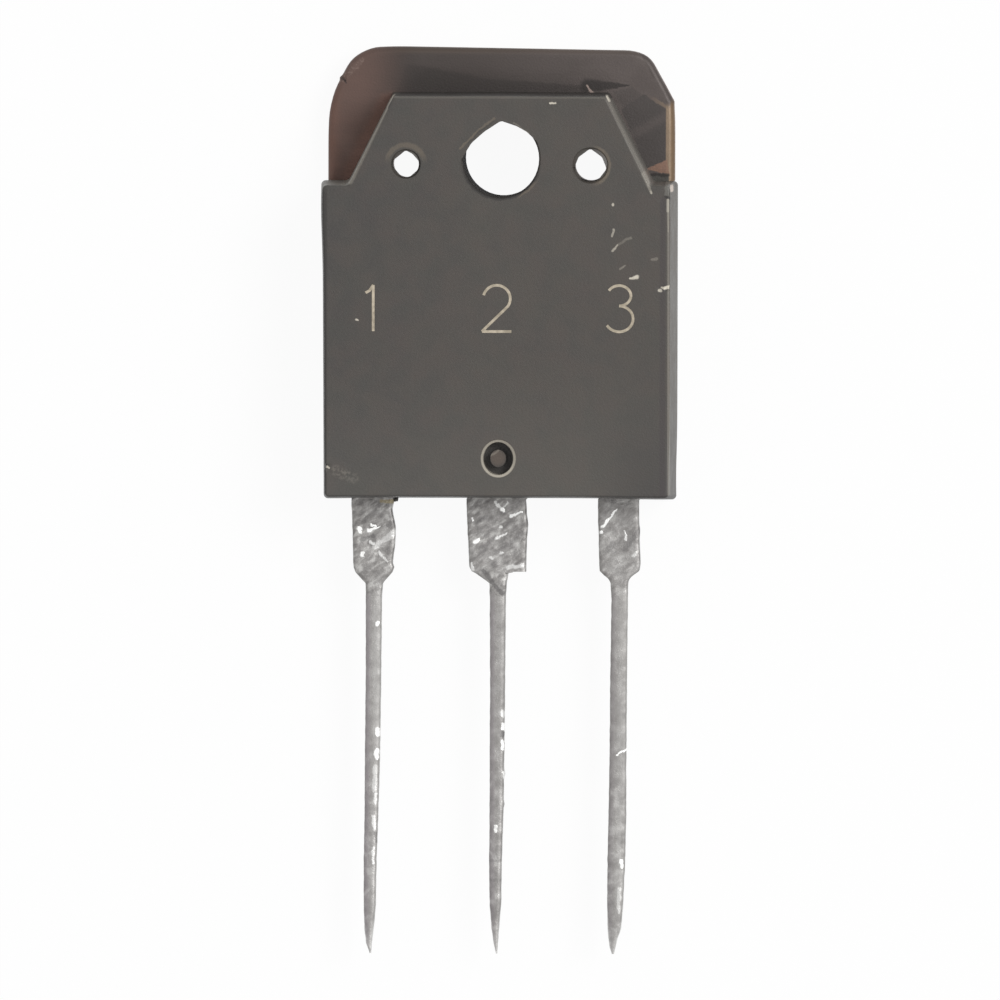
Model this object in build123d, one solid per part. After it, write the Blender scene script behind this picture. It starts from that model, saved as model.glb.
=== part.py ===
from build123d import *
import os
from math import hypot

# Three-lead moulded power transistor, in millimetres.
# The origin is where the axis of the mounting hole meets the heat-sink face.
# +Z runs from that face to the front, +Y to the top of the tab, and the leads point along -Y.
# Heights in Y are measured from the mounting-hole axis.

# Moulded body. Its outline is given at the parting plane, which is the front of the header.
body_width = 15.7
body_thickness = 4.8
hole_to_bottom = 15.08
hole_to_shoulder = 1.01
shoulder_width = 1.1
nose_width = 9.58
nose_height = 2.9
nose_foot_radius = 0.25
nose_corner_radius = 0.12
draft_angle = 3.0
side_corner_radius = 0.2
front_edge_radius = 0.1

# Mounting hole, which the moulding lines, and the two clamp holes beside it.
mounting_hole_diameter = 3.3
mounting_hole_chamfer = 0.08
lining_wall = 0.5
clamp_hole_spacing = 8.18
clamp_hole_drop = 0.28
clamp_hole_mouth = 1.5
clamp_hole_dish_depth = 0.12
clamp_hole_bore = 1.32
header_clamp_hole = 1.22

# Ejector mark near the bottom of the front face: a ring-shaped pit round a low pip.
ejector_mark_to_bottom = 1.85
ejector_mark_diameter = 1.36
ejector_mark_depth = 0.8
ejector_mark_chamfer = 0.13
ejector_pip_diameter = 0.72
ejector_pip_setback = 0.3

# Copper header: the bare tab above the shoulders and the narrower pad inside the moulding.
header_thickness = 1.5
tab_side_setback = 0.17
tab_height = 4.85
tab_chamfer_width = 1.31
tab_chamfer_height = 2.33
tab_top_radius = 1.6
tab_left_radius = 3.2
tab_right_radius = 0.2
tab_edge_roll = 0.28
pad_side_wall = 1.45
pad_to_bottom = 3.35
pad_corner_chamfer = 0.9
lock_flange_width = 0.4
lock_flange_thickness = 0.6
stress_groove_width = 0.7
stress_groove_depth = 0.3
stress_groove_drop = 1.3

# Lead frame. Each lead has a wide neck at the moulding, a taper and a slim pin with a pointed tip.
lead_pitch = 5.45
lead_thickness = 0.6
lead_length = 20.2
pin_width = 0.78
tip_length = 2.5
tip_width = 0.2
tip_thickness = 0.3
outer_neck_width = 1.93
centre_neck_width = 2.66
neck_length = 3.25
neck_taper = 0.55

# Bonding posts of the base and emitter leads, inside the moulding.
post_width = 3.3
post_height = 2.1
post_inward_shift = 0.35
post_to_pad_gap = 0.45
post_corner_radius = 0.3
lock_hole_diameter = 0.8
lock_hole_margin = 0.3

# Foot of the collector lead, held on the header by two staked bosses.
foot_width = 3.6
foot_overlap = 1.9
foot_corner_radius = 0.3
stake_diameter = 0.9
stake_spacing = 1.9
stake_head_diameter = 1.4
stake_head_height = 0.22

# Chip, its solder and its wires.
die_size = 5.0
die_thickness = 0.28
die_to_foot_gap = 0.7
solder_thickness = 0.06
solder_margin = 0.2
base_wire_diameter = 0.3
emitter_wire_diameter = 0.4
wire_foot_length = 0.6
wire_foot_stretch = 1.35
wire_foot_flatness = 0.7
wire_heel_lift = 0.02
wire_loop_height = 1.1
wire_edge_margin = 0.45
emitter_wire_spacing = 1.2

# Places that several pieces share.
parting_height = header_thickness
lead_top = parting_height + lead_thickness
body_half_width = body_width / 2
bottom_y = -hole_to_bottom
shoulder_y = -hole_to_shoulder
pad_bottom_y = bottom_y + pad_to_bottom
foot_top_y = pad_bottom_y + foot_overlap
post_centre_x = lead_pitch - post_inward_shift
post_top_y = pad_bottom_y - lock_flange_width - post_to_pad_gap
mounting_hole_radius = mounting_hole_diameter / 2
lining_radius = mounting_hole_radius + lining_wall
clamp_hole_places = [(side * clamp_hole_spacing / 2, -clamp_hole_drop) for side in (-1, 1)]
stake_places = [(side * stake_spacing / 2, pad_bottom_y + foot_overlap / 2) for side in (-1, 1)]
die_bottom_y = foot_top_y + die_to_foot_gap
die_top = header_thickness + solder_thickness + die_thickness
wire_crest = die_top + wire_loop_height


def at_height(z):
    """Horizontal plane at height z, for sketches seen from the front."""
    return Plane.XY.offset(z)


def slab(points, low, high):
    """Straight-sided plate over a closed outline, between two heights."""
    return extrude(at_height(low) * make_face(Polyline(*points, close=True)), high - low)


def rectangle_points(left, right, low, high):
    """Corners of a rectangle."""
    return [(left, low), (right, low), (right, high), (left, high)]


def centred_points(size, low):
    """Corners of a square that is centred on the middle line."""
    return rectangle_points(-size / 2, size / 2, low, low + size)


def corner_edges(solid, places, height):
    """Upright or drafted corner edges that start at the given places of one height."""
    found = []
    for edge in solid.edges():
        ends = [edge.start_point(), edge.end_point()]
        if abs(ends[0].Z - ends[1].Z) < 1e-3:
            continue
        low = min(ends, key=lambda end: abs(end.Z - height))
        if any(hypot(low.X - x, low.Y - y) < 1e-3 for x, y in places):
            found.append(edge)
    return found


def drill(diameter, low, high, place=(0, 0)):
    """Straight round cutter between two heights."""
    return extrude(at_height(low) * Pos(*place) * Circle(diameter / 2), high - low)


def cone_drill(low_diameter, high_diameter, low, high, place=(0, 0)):
    """Tapered round cutter between two heights."""
    upright = (Align.CENTER, Align.CENTER, Align.MIN)
    return Pos(*place, low) * Cone(low_diameter / 2, high_diameter / 2, high - low, align=upright)


def make_header():
    """Heat spreader: rolled-edge tab, pad with a locking flange, groove, holes and staked bosses."""
    half_tab = body_half_width - tab_side_setback
    chamfer_foot = tab_height - tab_chamfer_height
    chamfer_top = half_tab - tab_chamfer_width
    tab = slab(
        [
            (-half_tab, shoulder_y),
            (half_tab, shoulder_y),
            (half_tab, chamfer_foot),
            (chamfer_top, tab_height),
            (-chamfer_top, tab_height),
            (-half_tab, chamfer_foot),
        ],
        0,
        header_thickness,
    )
    top_corners = [(-chamfer_top, tab_height), (chamfer_top, tab_height)]
    tab = fillet(corner_edges(tab, top_corners, 0), tab_top_radius)
    tab = fillet(corner_edges(tab, [(-half_tab, chamfer_foot)], 0), tab_left_radius)
    tab = fillet(corner_edges(tab, [(half_tab, chamfer_foot)], 0), tab_right_radius)
    rim = tab.faces().sort_by(Axis.Z)[-1].edges().sort_by(Axis.Y)[1:]
    tab = fillet(rim, tab_edge_roll)

    half_pad = body_half_width - pad_side_wall
    half_flange = half_pad + lock_flange_width
    flange_bottom_y = pad_bottom_y - lock_flange_width
    flange_low = header_thickness - lock_flange_thickness
    pad_corners = [(-half_pad, pad_bottom_y), (half_pad, pad_bottom_y)]
    pad = slab(rectangle_points(-half_pad, half_pad, pad_bottom_y, 0), 0, header_thickness)
    pad = chamfer(corner_edges(pad, pad_corners, 0), pad_corner_chamfer)
    flange_corners = [(-half_flange, flange_bottom_y), (half_flange, flange_bottom_y)]
    flange_outline = rectangle_points(-half_flange, half_flange, flange_bottom_y, 0)
    flange = slab(flange_outline, flange_low, header_thickness)
    flange = chamfer(corner_edges(flange, flange_corners, flange_low), pad_corner_chamfer)

    groove_y = shoulder_y - stress_groove_drop
    groove_profile = Plane.YZ * make_face(
        Polyline(
            (groove_y - stress_groove_width / 2, header_thickness),
            (groove_y, header_thickness - stress_groove_depth),
            (groove_y + stress_groove_width / 2, header_thickness),
            close=True,
        )
    )
    header = tab + pad + flange - extrude(groove_profile, half_flange, both=True)
    header -= drill(2 * lining_radius, 0, header_thickness)
    for place in clamp_hole_places:
        header -= drill(header_clamp_hole, 0, header_thickness, place)
    for place in stake_places:
        head_top = lead_top + stake_head_height
        header += drill(stake_diameter, header_thickness, lead_top, place)
        header += cone_drill(stake_head_diameter, stake_diameter, lead_top, head_top, place)
    return header


def make_pin(centre_x, neck_width, square_side=0):
    """Neck, taper, slim pin and pointed tip of a lead, below the moulding.

    The neck tapers on both sides, or ends square on the side that square_side points to.
    """
    neck_low = bottom_y - neck_length
    taper_low = neck_low - neck_taper
    tip_high = bottom_y - lead_length + tip_length
    half_neck = neck_width / 2
    half_pin = pin_width / 2
    left_end = neck_low if square_side < 0 else taper_low
    right_end = neck_low if square_side > 0 else taper_low
    outline = [
        (centre_x - half_neck, bottom_y),
        (centre_x - half_neck, neck_low),
        (centre_x - half_pin, left_end),
        (centre_x - half_pin, tip_high),
        (centre_x + half_pin, tip_high),
        (centre_x + half_pin, right_end),
        (centre_x + half_neck, neck_low),
        (centre_x + half_neck, bottom_y),
    ]
    pin = slab(outline, parting_height, lead_top)
    tip_start = Plane(
        origin=(centre_x, tip_high, parting_height + lead_thickness / 2),
        x_dir=(1, 0, 0),
        z_dir=(0, -1, 0),
    )
    tip = loft([
        tip_start * Rectangle(pin_width, lead_thickness),
        tip_start.offset(tip_length) * Rectangle(tip_width, tip_thickness),
    ])
    return pin + tip


def make_post_lead(side):
    """Base (side -1) or emitter (side 1) lead, with its bonding post and mould-lock hole."""
    centre_x = side * lead_pitch
    post_x = side * post_centre_x
    post_bottom_y = post_top_y - post_height
    post_outline = rectangle_points(
        post_x - post_width / 2, post_x + post_width / 2, post_bottom_y, post_top_y
    )
    post = slab(post_outline, parting_height, lead_top)
    post = fillet(post.edges().filter_by(Axis.Z), post_corner_radius)
    half_neck = outer_neck_width / 2
    root_top_y = post_bottom_y + post_height / 2
    root_outline = rectangle_points(centre_x - half_neck, centre_x + half_neck, bottom_y, root_top_y)
    root = slab(root_outline, parting_height, lead_top)
    lock_y = post_bottom_y + lock_hole_margin + lock_hole_diameter / 2
    lock_hole = drill(lock_hole_diameter, parting_height, lead_top, (centre_x, lock_y))
    return post + root + make_pin(centre_x, outer_neck_width) - lock_hole


def make_collector_lead():
    """Centre lead, with the foot that the header's bosses go through."""
    half_foot = foot_width / 2
    foot_outline = rectangle_points(-half_foot, half_foot, pad_bottom_y, foot_top_y)
    foot = slab(foot_outline, parting_height, lead_top)
    foot = fillet(foot.edges().filter_by(Axis.Z), foot_corner_radius)
    half_neck = centre_neck_width / 2
    root_top_y = pad_bottom_y + foot_overlap / 2
    root_outline = rectangle_points(-half_neck, half_neck, bottom_y, root_top_y)
    root = slab(root_outline, parting_height, lead_top)
    lead = foot + root + make_pin(0, centre_neck_width, square_side=1)
    for place in stake_places:
        lead -= drill(stake_diameter, parting_height, lead_top, place)
    return lead


def make_die():
    """Chip, on its solder."""
    return slab(centred_points(die_size, die_bottom_y), header_thickness + solder_thickness, die_top)


def make_die_solder():
    """Solder layer, which spreads a little past the chip on every side."""
    corners = centred_points(die_size + 2 * solder_margin, die_bottom_y - solder_margin)
    return slab(corners, header_thickness, header_thickness + solder_thickness)


def make_wire(diameter, start, end):
    """Wedge-bonded wire: a flattened foot on the chip, a loop and a foot on the lead's post."""
    run_x = end[0] - start[0]
    run_y = end[1] - start[1]
    span = hypot(run_x, run_y)
    loop_plane = Plane(origin=(*start, 0), x_dir=(run_x, run_y, 0), z_dir=(run_y, -run_x, 0))
    axis_lift = diameter / 2 + wire_heel_lift
    climb = wire_crest - die_top
    drop = wire_crest - lead_top
    route = [
        (wire_foot_length / 2, die_top + axis_lift),
        (wire_foot_length, die_top + axis_lift),
        (wire_foot_length + climb, wire_crest),
        (span - wire_foot_length - drop, wire_crest),
        (span - wire_foot_length, lead_top + axis_lift),
        (span - wire_foot_length / 2, lead_top + axis_lift),
    ]
    path = loop_plane * Polyline(*route)
    section = Plane(origin=path @ 0, z_dir=path % 0) * Circle(diameter / 2)
    wire = sweep(section, path=path, transition=Transition.RIGHT)
    foot_height = diameter * wire_foot_flatness
    foot_breadth = diameter * wire_foot_stretch
    beside = (Align.MIN, Align.MIN, Align.CENTER)
    for distance, level in ((0, die_top), (span - wire_foot_length, lead_top)):
        foot = Box(wire_foot_length, foot_height, foot_breadth, align=beside)
        wire += loop_plane * Pos(distance, level, 0) * foot
    return wire


def make_outer_form():
    """Outside of the moulding: two drafted halves that meet at the parting plane."""
    foot_x = body_half_width - shoulder_width
    nose_x = nose_width / 2
    half_widths = (-body_half_width, body_half_width)
    front_half = slab(
        [
            (-body_half_width, bottom_y),
            (body_half_width, bottom_y),
            (body_half_width, shoulder_y),
            (foot_x, shoulder_y),
            (nose_x, nose_height),
            (-nose_x, nose_height),
            (-foot_x, shoulder_y),
            (-body_half_width, shoulder_y),
        ],
        parting_height,
        body_thickness,
    )
    walls = front_half.faces().filter_by(Axis.Z, reverse=True)
    front_half = draft(walls, at_height(parting_height), draft_angle)
    block_corners = [(x, y) for x in half_widths for y in (bottom_y, shoulder_y)]
    nose_feet = [(-foot_x, shoulder_y), (foot_x, shoulder_y)]
    nose_tops = [(-nose_x, nose_height), (nose_x, nose_height)]
    foot_radius = min(nose_foot_radius, shoulder_width)
    for places, radius in (
        (nose_feet, foot_radius),
        (block_corners, side_corner_radius),
        (nose_tops, nose_corner_radius),
    ):
        front_half = fillet(corner_edges(front_half, places, parting_height), radius)
    front_face = front_half.faces().sort_by(Axis.Z)[-1]
    front_half = fillet(front_face.edges(), front_edge_radius)

    back_outline = rectangle_points(-body_half_width, body_half_width, bottom_y, shoulder_y)
    back_half = slab(back_outline, 0, parting_height)
    walls = back_half.faces().filter_by(Axis.Z, reverse=True)
    back_half = draft(walls, -at_height(parting_height), draft_angle)
    back_half = fillet(corner_edges(back_half, block_corners, parting_height), side_corner_radius)
    tab_seat_x = body_half_width - 2 * side_corner_radius
    tab_seat_low = shoulder_y - shoulder_width
    tab_seat = rectangle_points(-tab_seat_x, tab_seat_x, tab_seat_low, shoulder_y)
    lining = drill(2 * lining_radius, 0, parting_height)
    return front_half + back_half + slab(tab_seat, 0, parting_height) + lining


def make_moulded_body(inner_pieces):
    """Moulding, with its holes and ejector mark, that fills all the space round the pieces inside."""
    body = make_outer_form()
    rim_low = body_thickness - mounting_hole_chamfer
    rim_diameter = mounting_hole_diameter + 2 * mounting_hole_chamfer
    body -= drill(mounting_hole_diameter, 0, body_thickness)
    body -= cone_drill(mounting_hole_diameter, rim_diameter, rim_low, body_thickness)
    dish_low = body_thickness - clamp_hole_dish_depth
    for place in clamp_hole_places:
        body -= drill(clamp_hole_bore, parting_height, body_thickness, place)
        body -= cone_drill(clamp_hole_bore, clamp_hole_mouth, dish_low, body_thickness, place)

    mark = (0, bottom_y + ejector_mark_to_bottom)
    mark_low = body_thickness - ejector_mark_depth
    mouth_low = body_thickness - ejector_mark_chamfer
    mouth_diameter = ejector_mark_diameter + 2 * ejector_mark_chamfer
    pit = drill(ejector_mark_diameter, mark_low, body_thickness, mark)
    pit += cone_drill(ejector_mark_diameter, mouth_diameter, mouth_low, body_thickness, mark)
    pit -= drill(ejector_pip_diameter, mark_low, body_thickness - ejector_pip_setback, mark)
    body -= pit
    for piece in inner_pieces:
        body -= piece
    return body


def make_parts():
    """All pieces by name."""
    die_bond_y = die_bottom_y + wire_foot_length + wire_edge_margin
    die_bond_x = die_size / 2 - wire_foot_length - wire_edge_margin
    post_bond_y = post_top_y - wire_foot_length
    pieces = {
        "copper_header": make_header(),
        "base_lead": make_post_lead(-1),
        "collector_lead": make_collector_lead(),
        "emitter_lead": make_post_lead(1),
        "silicon_die": make_die(),
        "die_solder": make_die_solder(),
        "base_wire": make_wire(
            base_wire_diameter, (-die_bond_x, die_bond_y), (-post_centre_x, post_bond_y)
        ),
    }
    for number in (1, 2):
        shift = (number - 2) * emitter_wire_spacing
        start = (die_bond_x + shift, die_bond_y)
        end = (post_centre_x + shift + emitter_wire_spacing / 2, post_bond_y)
        pieces[f"emitter_wire_{number}"] = make_wire(emitter_wire_diameter, start, end)
    pieces["moulded_body"] = make_moulded_body(list(pieces.values()))
    return pieces


os.makedirs("parts", exist_ok=True)
for name, piece in make_parts().items():
    export_step(piece, f"parts/{name}.step")
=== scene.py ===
"""Looks of a three-lead moulded power transistor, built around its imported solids."""

import functools
import logging
import math
import operator
from collections.abc import Callable, Iterable, Sequence
from dataclasses import dataclass
from enum import Enum
from typing import NamedTuple

import bmesh
import bpy
import numpy as np
from mathutils import Matrix, Vector, noise
from mathutils.geometry import delaunay_2d_cdt
from mathutils.kdtree import KDTree


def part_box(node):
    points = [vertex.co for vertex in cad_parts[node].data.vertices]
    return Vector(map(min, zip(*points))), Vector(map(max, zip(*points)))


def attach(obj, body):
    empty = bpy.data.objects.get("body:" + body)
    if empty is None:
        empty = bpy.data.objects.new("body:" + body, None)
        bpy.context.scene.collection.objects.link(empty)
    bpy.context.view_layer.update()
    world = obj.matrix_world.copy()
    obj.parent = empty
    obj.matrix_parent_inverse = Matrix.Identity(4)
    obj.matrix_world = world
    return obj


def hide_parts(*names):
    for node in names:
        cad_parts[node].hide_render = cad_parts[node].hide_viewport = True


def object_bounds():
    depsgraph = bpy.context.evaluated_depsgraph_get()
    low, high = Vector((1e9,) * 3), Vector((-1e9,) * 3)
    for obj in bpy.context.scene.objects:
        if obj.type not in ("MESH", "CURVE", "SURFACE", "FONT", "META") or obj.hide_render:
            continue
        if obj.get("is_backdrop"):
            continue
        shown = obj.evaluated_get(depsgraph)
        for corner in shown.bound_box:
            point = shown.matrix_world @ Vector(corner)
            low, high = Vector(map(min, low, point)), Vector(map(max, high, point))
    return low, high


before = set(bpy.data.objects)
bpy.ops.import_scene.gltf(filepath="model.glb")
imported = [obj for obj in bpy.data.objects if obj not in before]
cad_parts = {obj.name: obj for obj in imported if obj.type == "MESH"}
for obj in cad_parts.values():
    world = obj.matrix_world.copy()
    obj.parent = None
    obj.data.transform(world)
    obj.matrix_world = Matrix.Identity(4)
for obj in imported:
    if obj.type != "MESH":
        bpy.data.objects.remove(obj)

MM = 0.001
LOG = logging.getLogger("power_transistor")

Point = tuple[float, float, float]
Place = tuple[float, float]
Span = tuple[float, float]
Colour = tuple[float, float, float]

# Places on the part, X and Y in millimetres.
MOUNTING_HOLE: Place = (0.0, 0.0)
CLAMP_HOLE: Place = (4.09, -0.28)
EJECTOR_MARK: Place = (0.0, -13.23)
WORN_HOLE: Place = (0.07, 0.0)

# The standard display curve: a straight toe, then a power.
TOE_END, TOE_SLOPE = 0.04045, 12.92
CURVE_SHIFT, CURVE_POWER = 0.055, 2.4

# Noise that counts as 0 and as 1, and the shares of its half width at which a mark fades.
NOISE_SPREAD: Span = (0.25, 0.75)
SOFT_EDGE: Span = (0.5, 1.3)
WAVE_SEEDS = (41, 43)

WHITE: Colour = (1.0, 1.0, 1.0)
TINY = 1e-9


def linear(red: int, green: int, blue: int) -> Colour:
    """Linear colour of an eight-bit display colour.

    Args:
        red: Red, 0 to 255.
        green: Green, 0 to 255.
        blue: Blue, 0 to 255.

    Returns:
        The same colour as linear values.
    """
    shares = (value / 255 for value in (red, green, blue))
    return tuple(
        s / TOE_SLOPE if s <= TOE_END else ((s + CURVE_SHIFT) / (1 + CURVE_SHIFT)) ** CURVE_POWER
        for s in shares
    )


def box_mm(node: str) -> tuple[np.ndarray, np.ndarray]:
    """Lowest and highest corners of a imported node, in millimetres."""
    low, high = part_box(node)
    return np.array(low) / MM, np.array(high) / MM


# ---------------------------------------------------------------------------
# Material graphs
# ---------------------------------------------------------------------------


@dataclass(frozen=True)
class Signal:
    """A socket that carries numbers, with arithmetic that adds Math nodes."""

    graph: "Tree"
    socket: bpy.types.NodeSocket

    def __add__(self, other: "Signal | float") -> "Signal":
        """Sum."""
        return self.graph.math("ADD", self, other)

    def __radd__(self, other: float) -> "Signal":
        """Sum with the signal on the right."""
        return self.graph.math("ADD", other, self)

    def __sub__(self, other: "Signal | float") -> "Signal":
        """Difference."""
        return self.graph.math("SUBTRACT", self, other)

    def __rsub__(self, other: float) -> "Signal":
        """Difference with the signal on the right."""
        return self.graph.math("SUBTRACT", other, self)

    def __mul__(self, other: "Signal | float") -> "Signal":
        """Product."""
        return self.graph.math("MULTIPLY", self, other)

    def __rmul__(self, other: float) -> "Signal":
        """Product with the signal on the right."""
        return self.graph.math("MULTIPLY", other, self)

    def __truediv__(self, other: "Signal | float") -> "Signal":
        """Quotient."""
        return self.graph.math("DIVIDE", self, other)

    def __abs__(self) -> "Signal":
        """Size without its sign."""
        return self.graph.math("ABSOLUTE", self)

    def __or__(self, other: "Signal | float") -> "Signal":
        """Larger of two masks."""
        return self.graph.math("MAXIMUM", self, other)

    def __and__(self, other: "Signal | float") -> "Signal":
        """Smaller of two masks."""
        return self.graph.math("MINIMUM", self, other)

    def rise(self, low: float, high: float) -> "Signal":
        """Smooth step from 0 at low to 1 at high.

        Args:
            low: Value at which the step is 0.
            high: Value at which the step is 1, above low.

        Returns:
            The step, between 0 and 1.
        """
        values = {"Value": self, "From Min": low, "From Max": high}
        settings = {"interpolation_type": "SMOOTHSTEP"}
        return self.graph.out(self.graph.node("ShaderNodeMapRange", settings, values), "Result")

    def fall(self, low: float, high: float) -> "Signal":
        """Smooth step from 1 at low to 0 at high."""
        return 1.0 - self.rise(low, high)


@dataclass(frozen=True)
class Arrow:
    """A socket that carries a vector, with arithmetic that adds Vector Math nodes."""

    graph: "Tree"
    socket: bpy.types.NodeSocket

    def __add__(self, other: "Arrow | Sequence[float]") -> "Arrow":
        """Sum of two vectors."""
        return self.graph.vector("ADD", self, other)

    def __sub__(self, other: "Arrow | Sequence[float]") -> "Arrow":
        """Difference of two vectors."""
        return self.graph.vector("SUBTRACT", self, other)

    def __mul__(self, other: "Arrow | Sequence[float]") -> "Arrow":
        """Product, axis by axis."""
        return self.graph.vector("MULTIPLY", self, other)

    def dot(self, other: Sequence[float]) -> Signal:
        """Dot product with a fixed vector."""
        node = self.graph.node("ShaderNodeVectorMath", {"operation": "DOT_PRODUCT"}, {0: self, 1: other})
        return self.graph.out(node, "Value")

    def length(self) -> Signal:
        """Length."""
        node = self.graph.node("ShaderNodeVectorMath", {"operation": "LENGTH"}, {0: self})
        return self.graph.out(node, "Value")

    def parts(self) -> tuple[Signal, Signal, Signal]:
        """The three components."""
        node = self.graph.node("ShaderNodeSeparateXYZ", {}, {0: self})
        return tuple(Signal(self.graph, socket) for socket in node.outputs)


@dataclass(frozen=True)
class Tint:
    """A socket that carries a colour."""

    graph: "Tree"
    socket: bpy.types.NodeSocket

    def under(self, colour: "Tint | Colour", mask: "Signal | float") -> "Tint":
        """Paint another colour over this one.

        Args:
            colour: Colour on top.
            mask: Where it covers.

        Returns:
            The painted colour.
        """
        return self.graph.blend(mask, self, colour)


class Tree:
    """Node tree of a material or of the world, with short ways to add nodes."""

    def __init__(self, owner: bpy.types.Material | bpy.types.World) -> None:
        """Start with an empty tree.

        Args:
            owner: Material or world that holds the tree.
        """
        owner.use_nodes = True
        self.tree = owner.node_tree
        self.tree.nodes.clear()

    def node(self, kind: str, settings: dict | None = None, inputs: dict | None = None) -> bpy.types.Node:
        """Add any node.

        Args:
            kind: Type of the node.
            settings: Properties, which are set first.
            inputs: Values or links, by the socket's index, identifier or name.

        Returns:
            The new node.
        """
        node = self.tree.nodes.new(kind)
        for key, value in (settings or {}).items():
            setattr(node, key, value)
        for key, value in (inputs or {}).items():
            self._feed(self._socket(node, key), value)
        return node

    @staticmethod
    def _socket(node: bpy.types.Node, key: int | str) -> bpy.types.NodeSocket:
        """Find an input of a node.

        Args:
            node: The node.
            key: Index, identifier or name of the input.

        Returns:
            The input.
        """
        if isinstance(key, int):
            return node.inputs[key]
        by_identifier = [socket for socket in node.inputs if socket.identifier == key]
        return by_identifier[0] if by_identifier else node.inputs[key]

    def _feed(self, socket: bpy.types.NodeSocket, value: object) -> None:
        """Link a signal to a socket, or set the socket's own value.

        Args:
            socket: Socket that gets it.
            value: Signal, socket, colour, vector or number.
        """
        if isinstance(value, (Signal, Arrow, Tint)):
            self.tree.links.new(value.socket, socket)
        elif isinstance(value, bpy.types.NodeSocket):
            self.tree.links.new(value, socket)
        elif socket.type == "RGBA":
            socket.default_value = (*value, 1.0)
        else:
            socket.default_value = value

    def out(self, node: bpy.types.Node, name: str) -> Signal:
        """A node's output as numbers."""
        return Signal(self, node.outputs[name])

    def math(self, operation: str, *operands: Signal | float) -> Signal:
        """Add a Math node."""
        inputs = dict(enumerate(operands))
        return self.out(self.node("ShaderNodeMath", {"operation": operation}, inputs), "Value")

    def vector(self, operation: str, *operands: Arrow | Sequence[float]) -> Arrow:
        """Add a Vector Math node."""
        node = self.node("ShaderNodeVectorMath", {"operation": operation}, dict(enumerate(operands)))
        return Arrow(self, node.outputs["Vector"])

    def along(self, direction: Sequence[float], share: Signal) -> Arrow:
        """Multiply a fixed vector by a number that varies.

        Args:
            direction: The vector.
            share: The number.

        Returns:
            Their product.
        """
        inputs = {0: direction, "Scale": share}
        node = self.node("ShaderNodeVectorMath", {"operation": "SCALE"}, inputs)
        return Arrow(self, node.outputs["Vector"])

    def blend(self, factor: Signal | float, first: Tint | Colour, second: Tint | Colour) -> Tint:
        """Mix two colours.

        Args:
            factor: Share of the second colour.
            first: Colour at 0.
            second: Colour at 1.

        Returns:
            The mixed colour.
        """
        inputs = {"Factor_Float": factor, "A_Color": first, "B_Color": second}
        node = self.node("ShaderNodeMix", {"data_type": "RGBA", "clamp_factor": True}, inputs)
        return Tint(self, next(socket for socket in node.outputs if socket.identifier == "Result_Color"))

    def seen_directly(self) -> Signal:
        """Tell rays from the camera, gloss and glass from scattered light.

        Returns:
            1 for the first three, and 0 for scattered light.
        """
        path = self.node("ShaderNodeLightPath")
        camera, glossy = self.out(path, "Is Camera Ray"), self.out(path, "Is Glossy Ray")
        return camera | glossy | self.out(path, "Is Transmission Ray")


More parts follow.
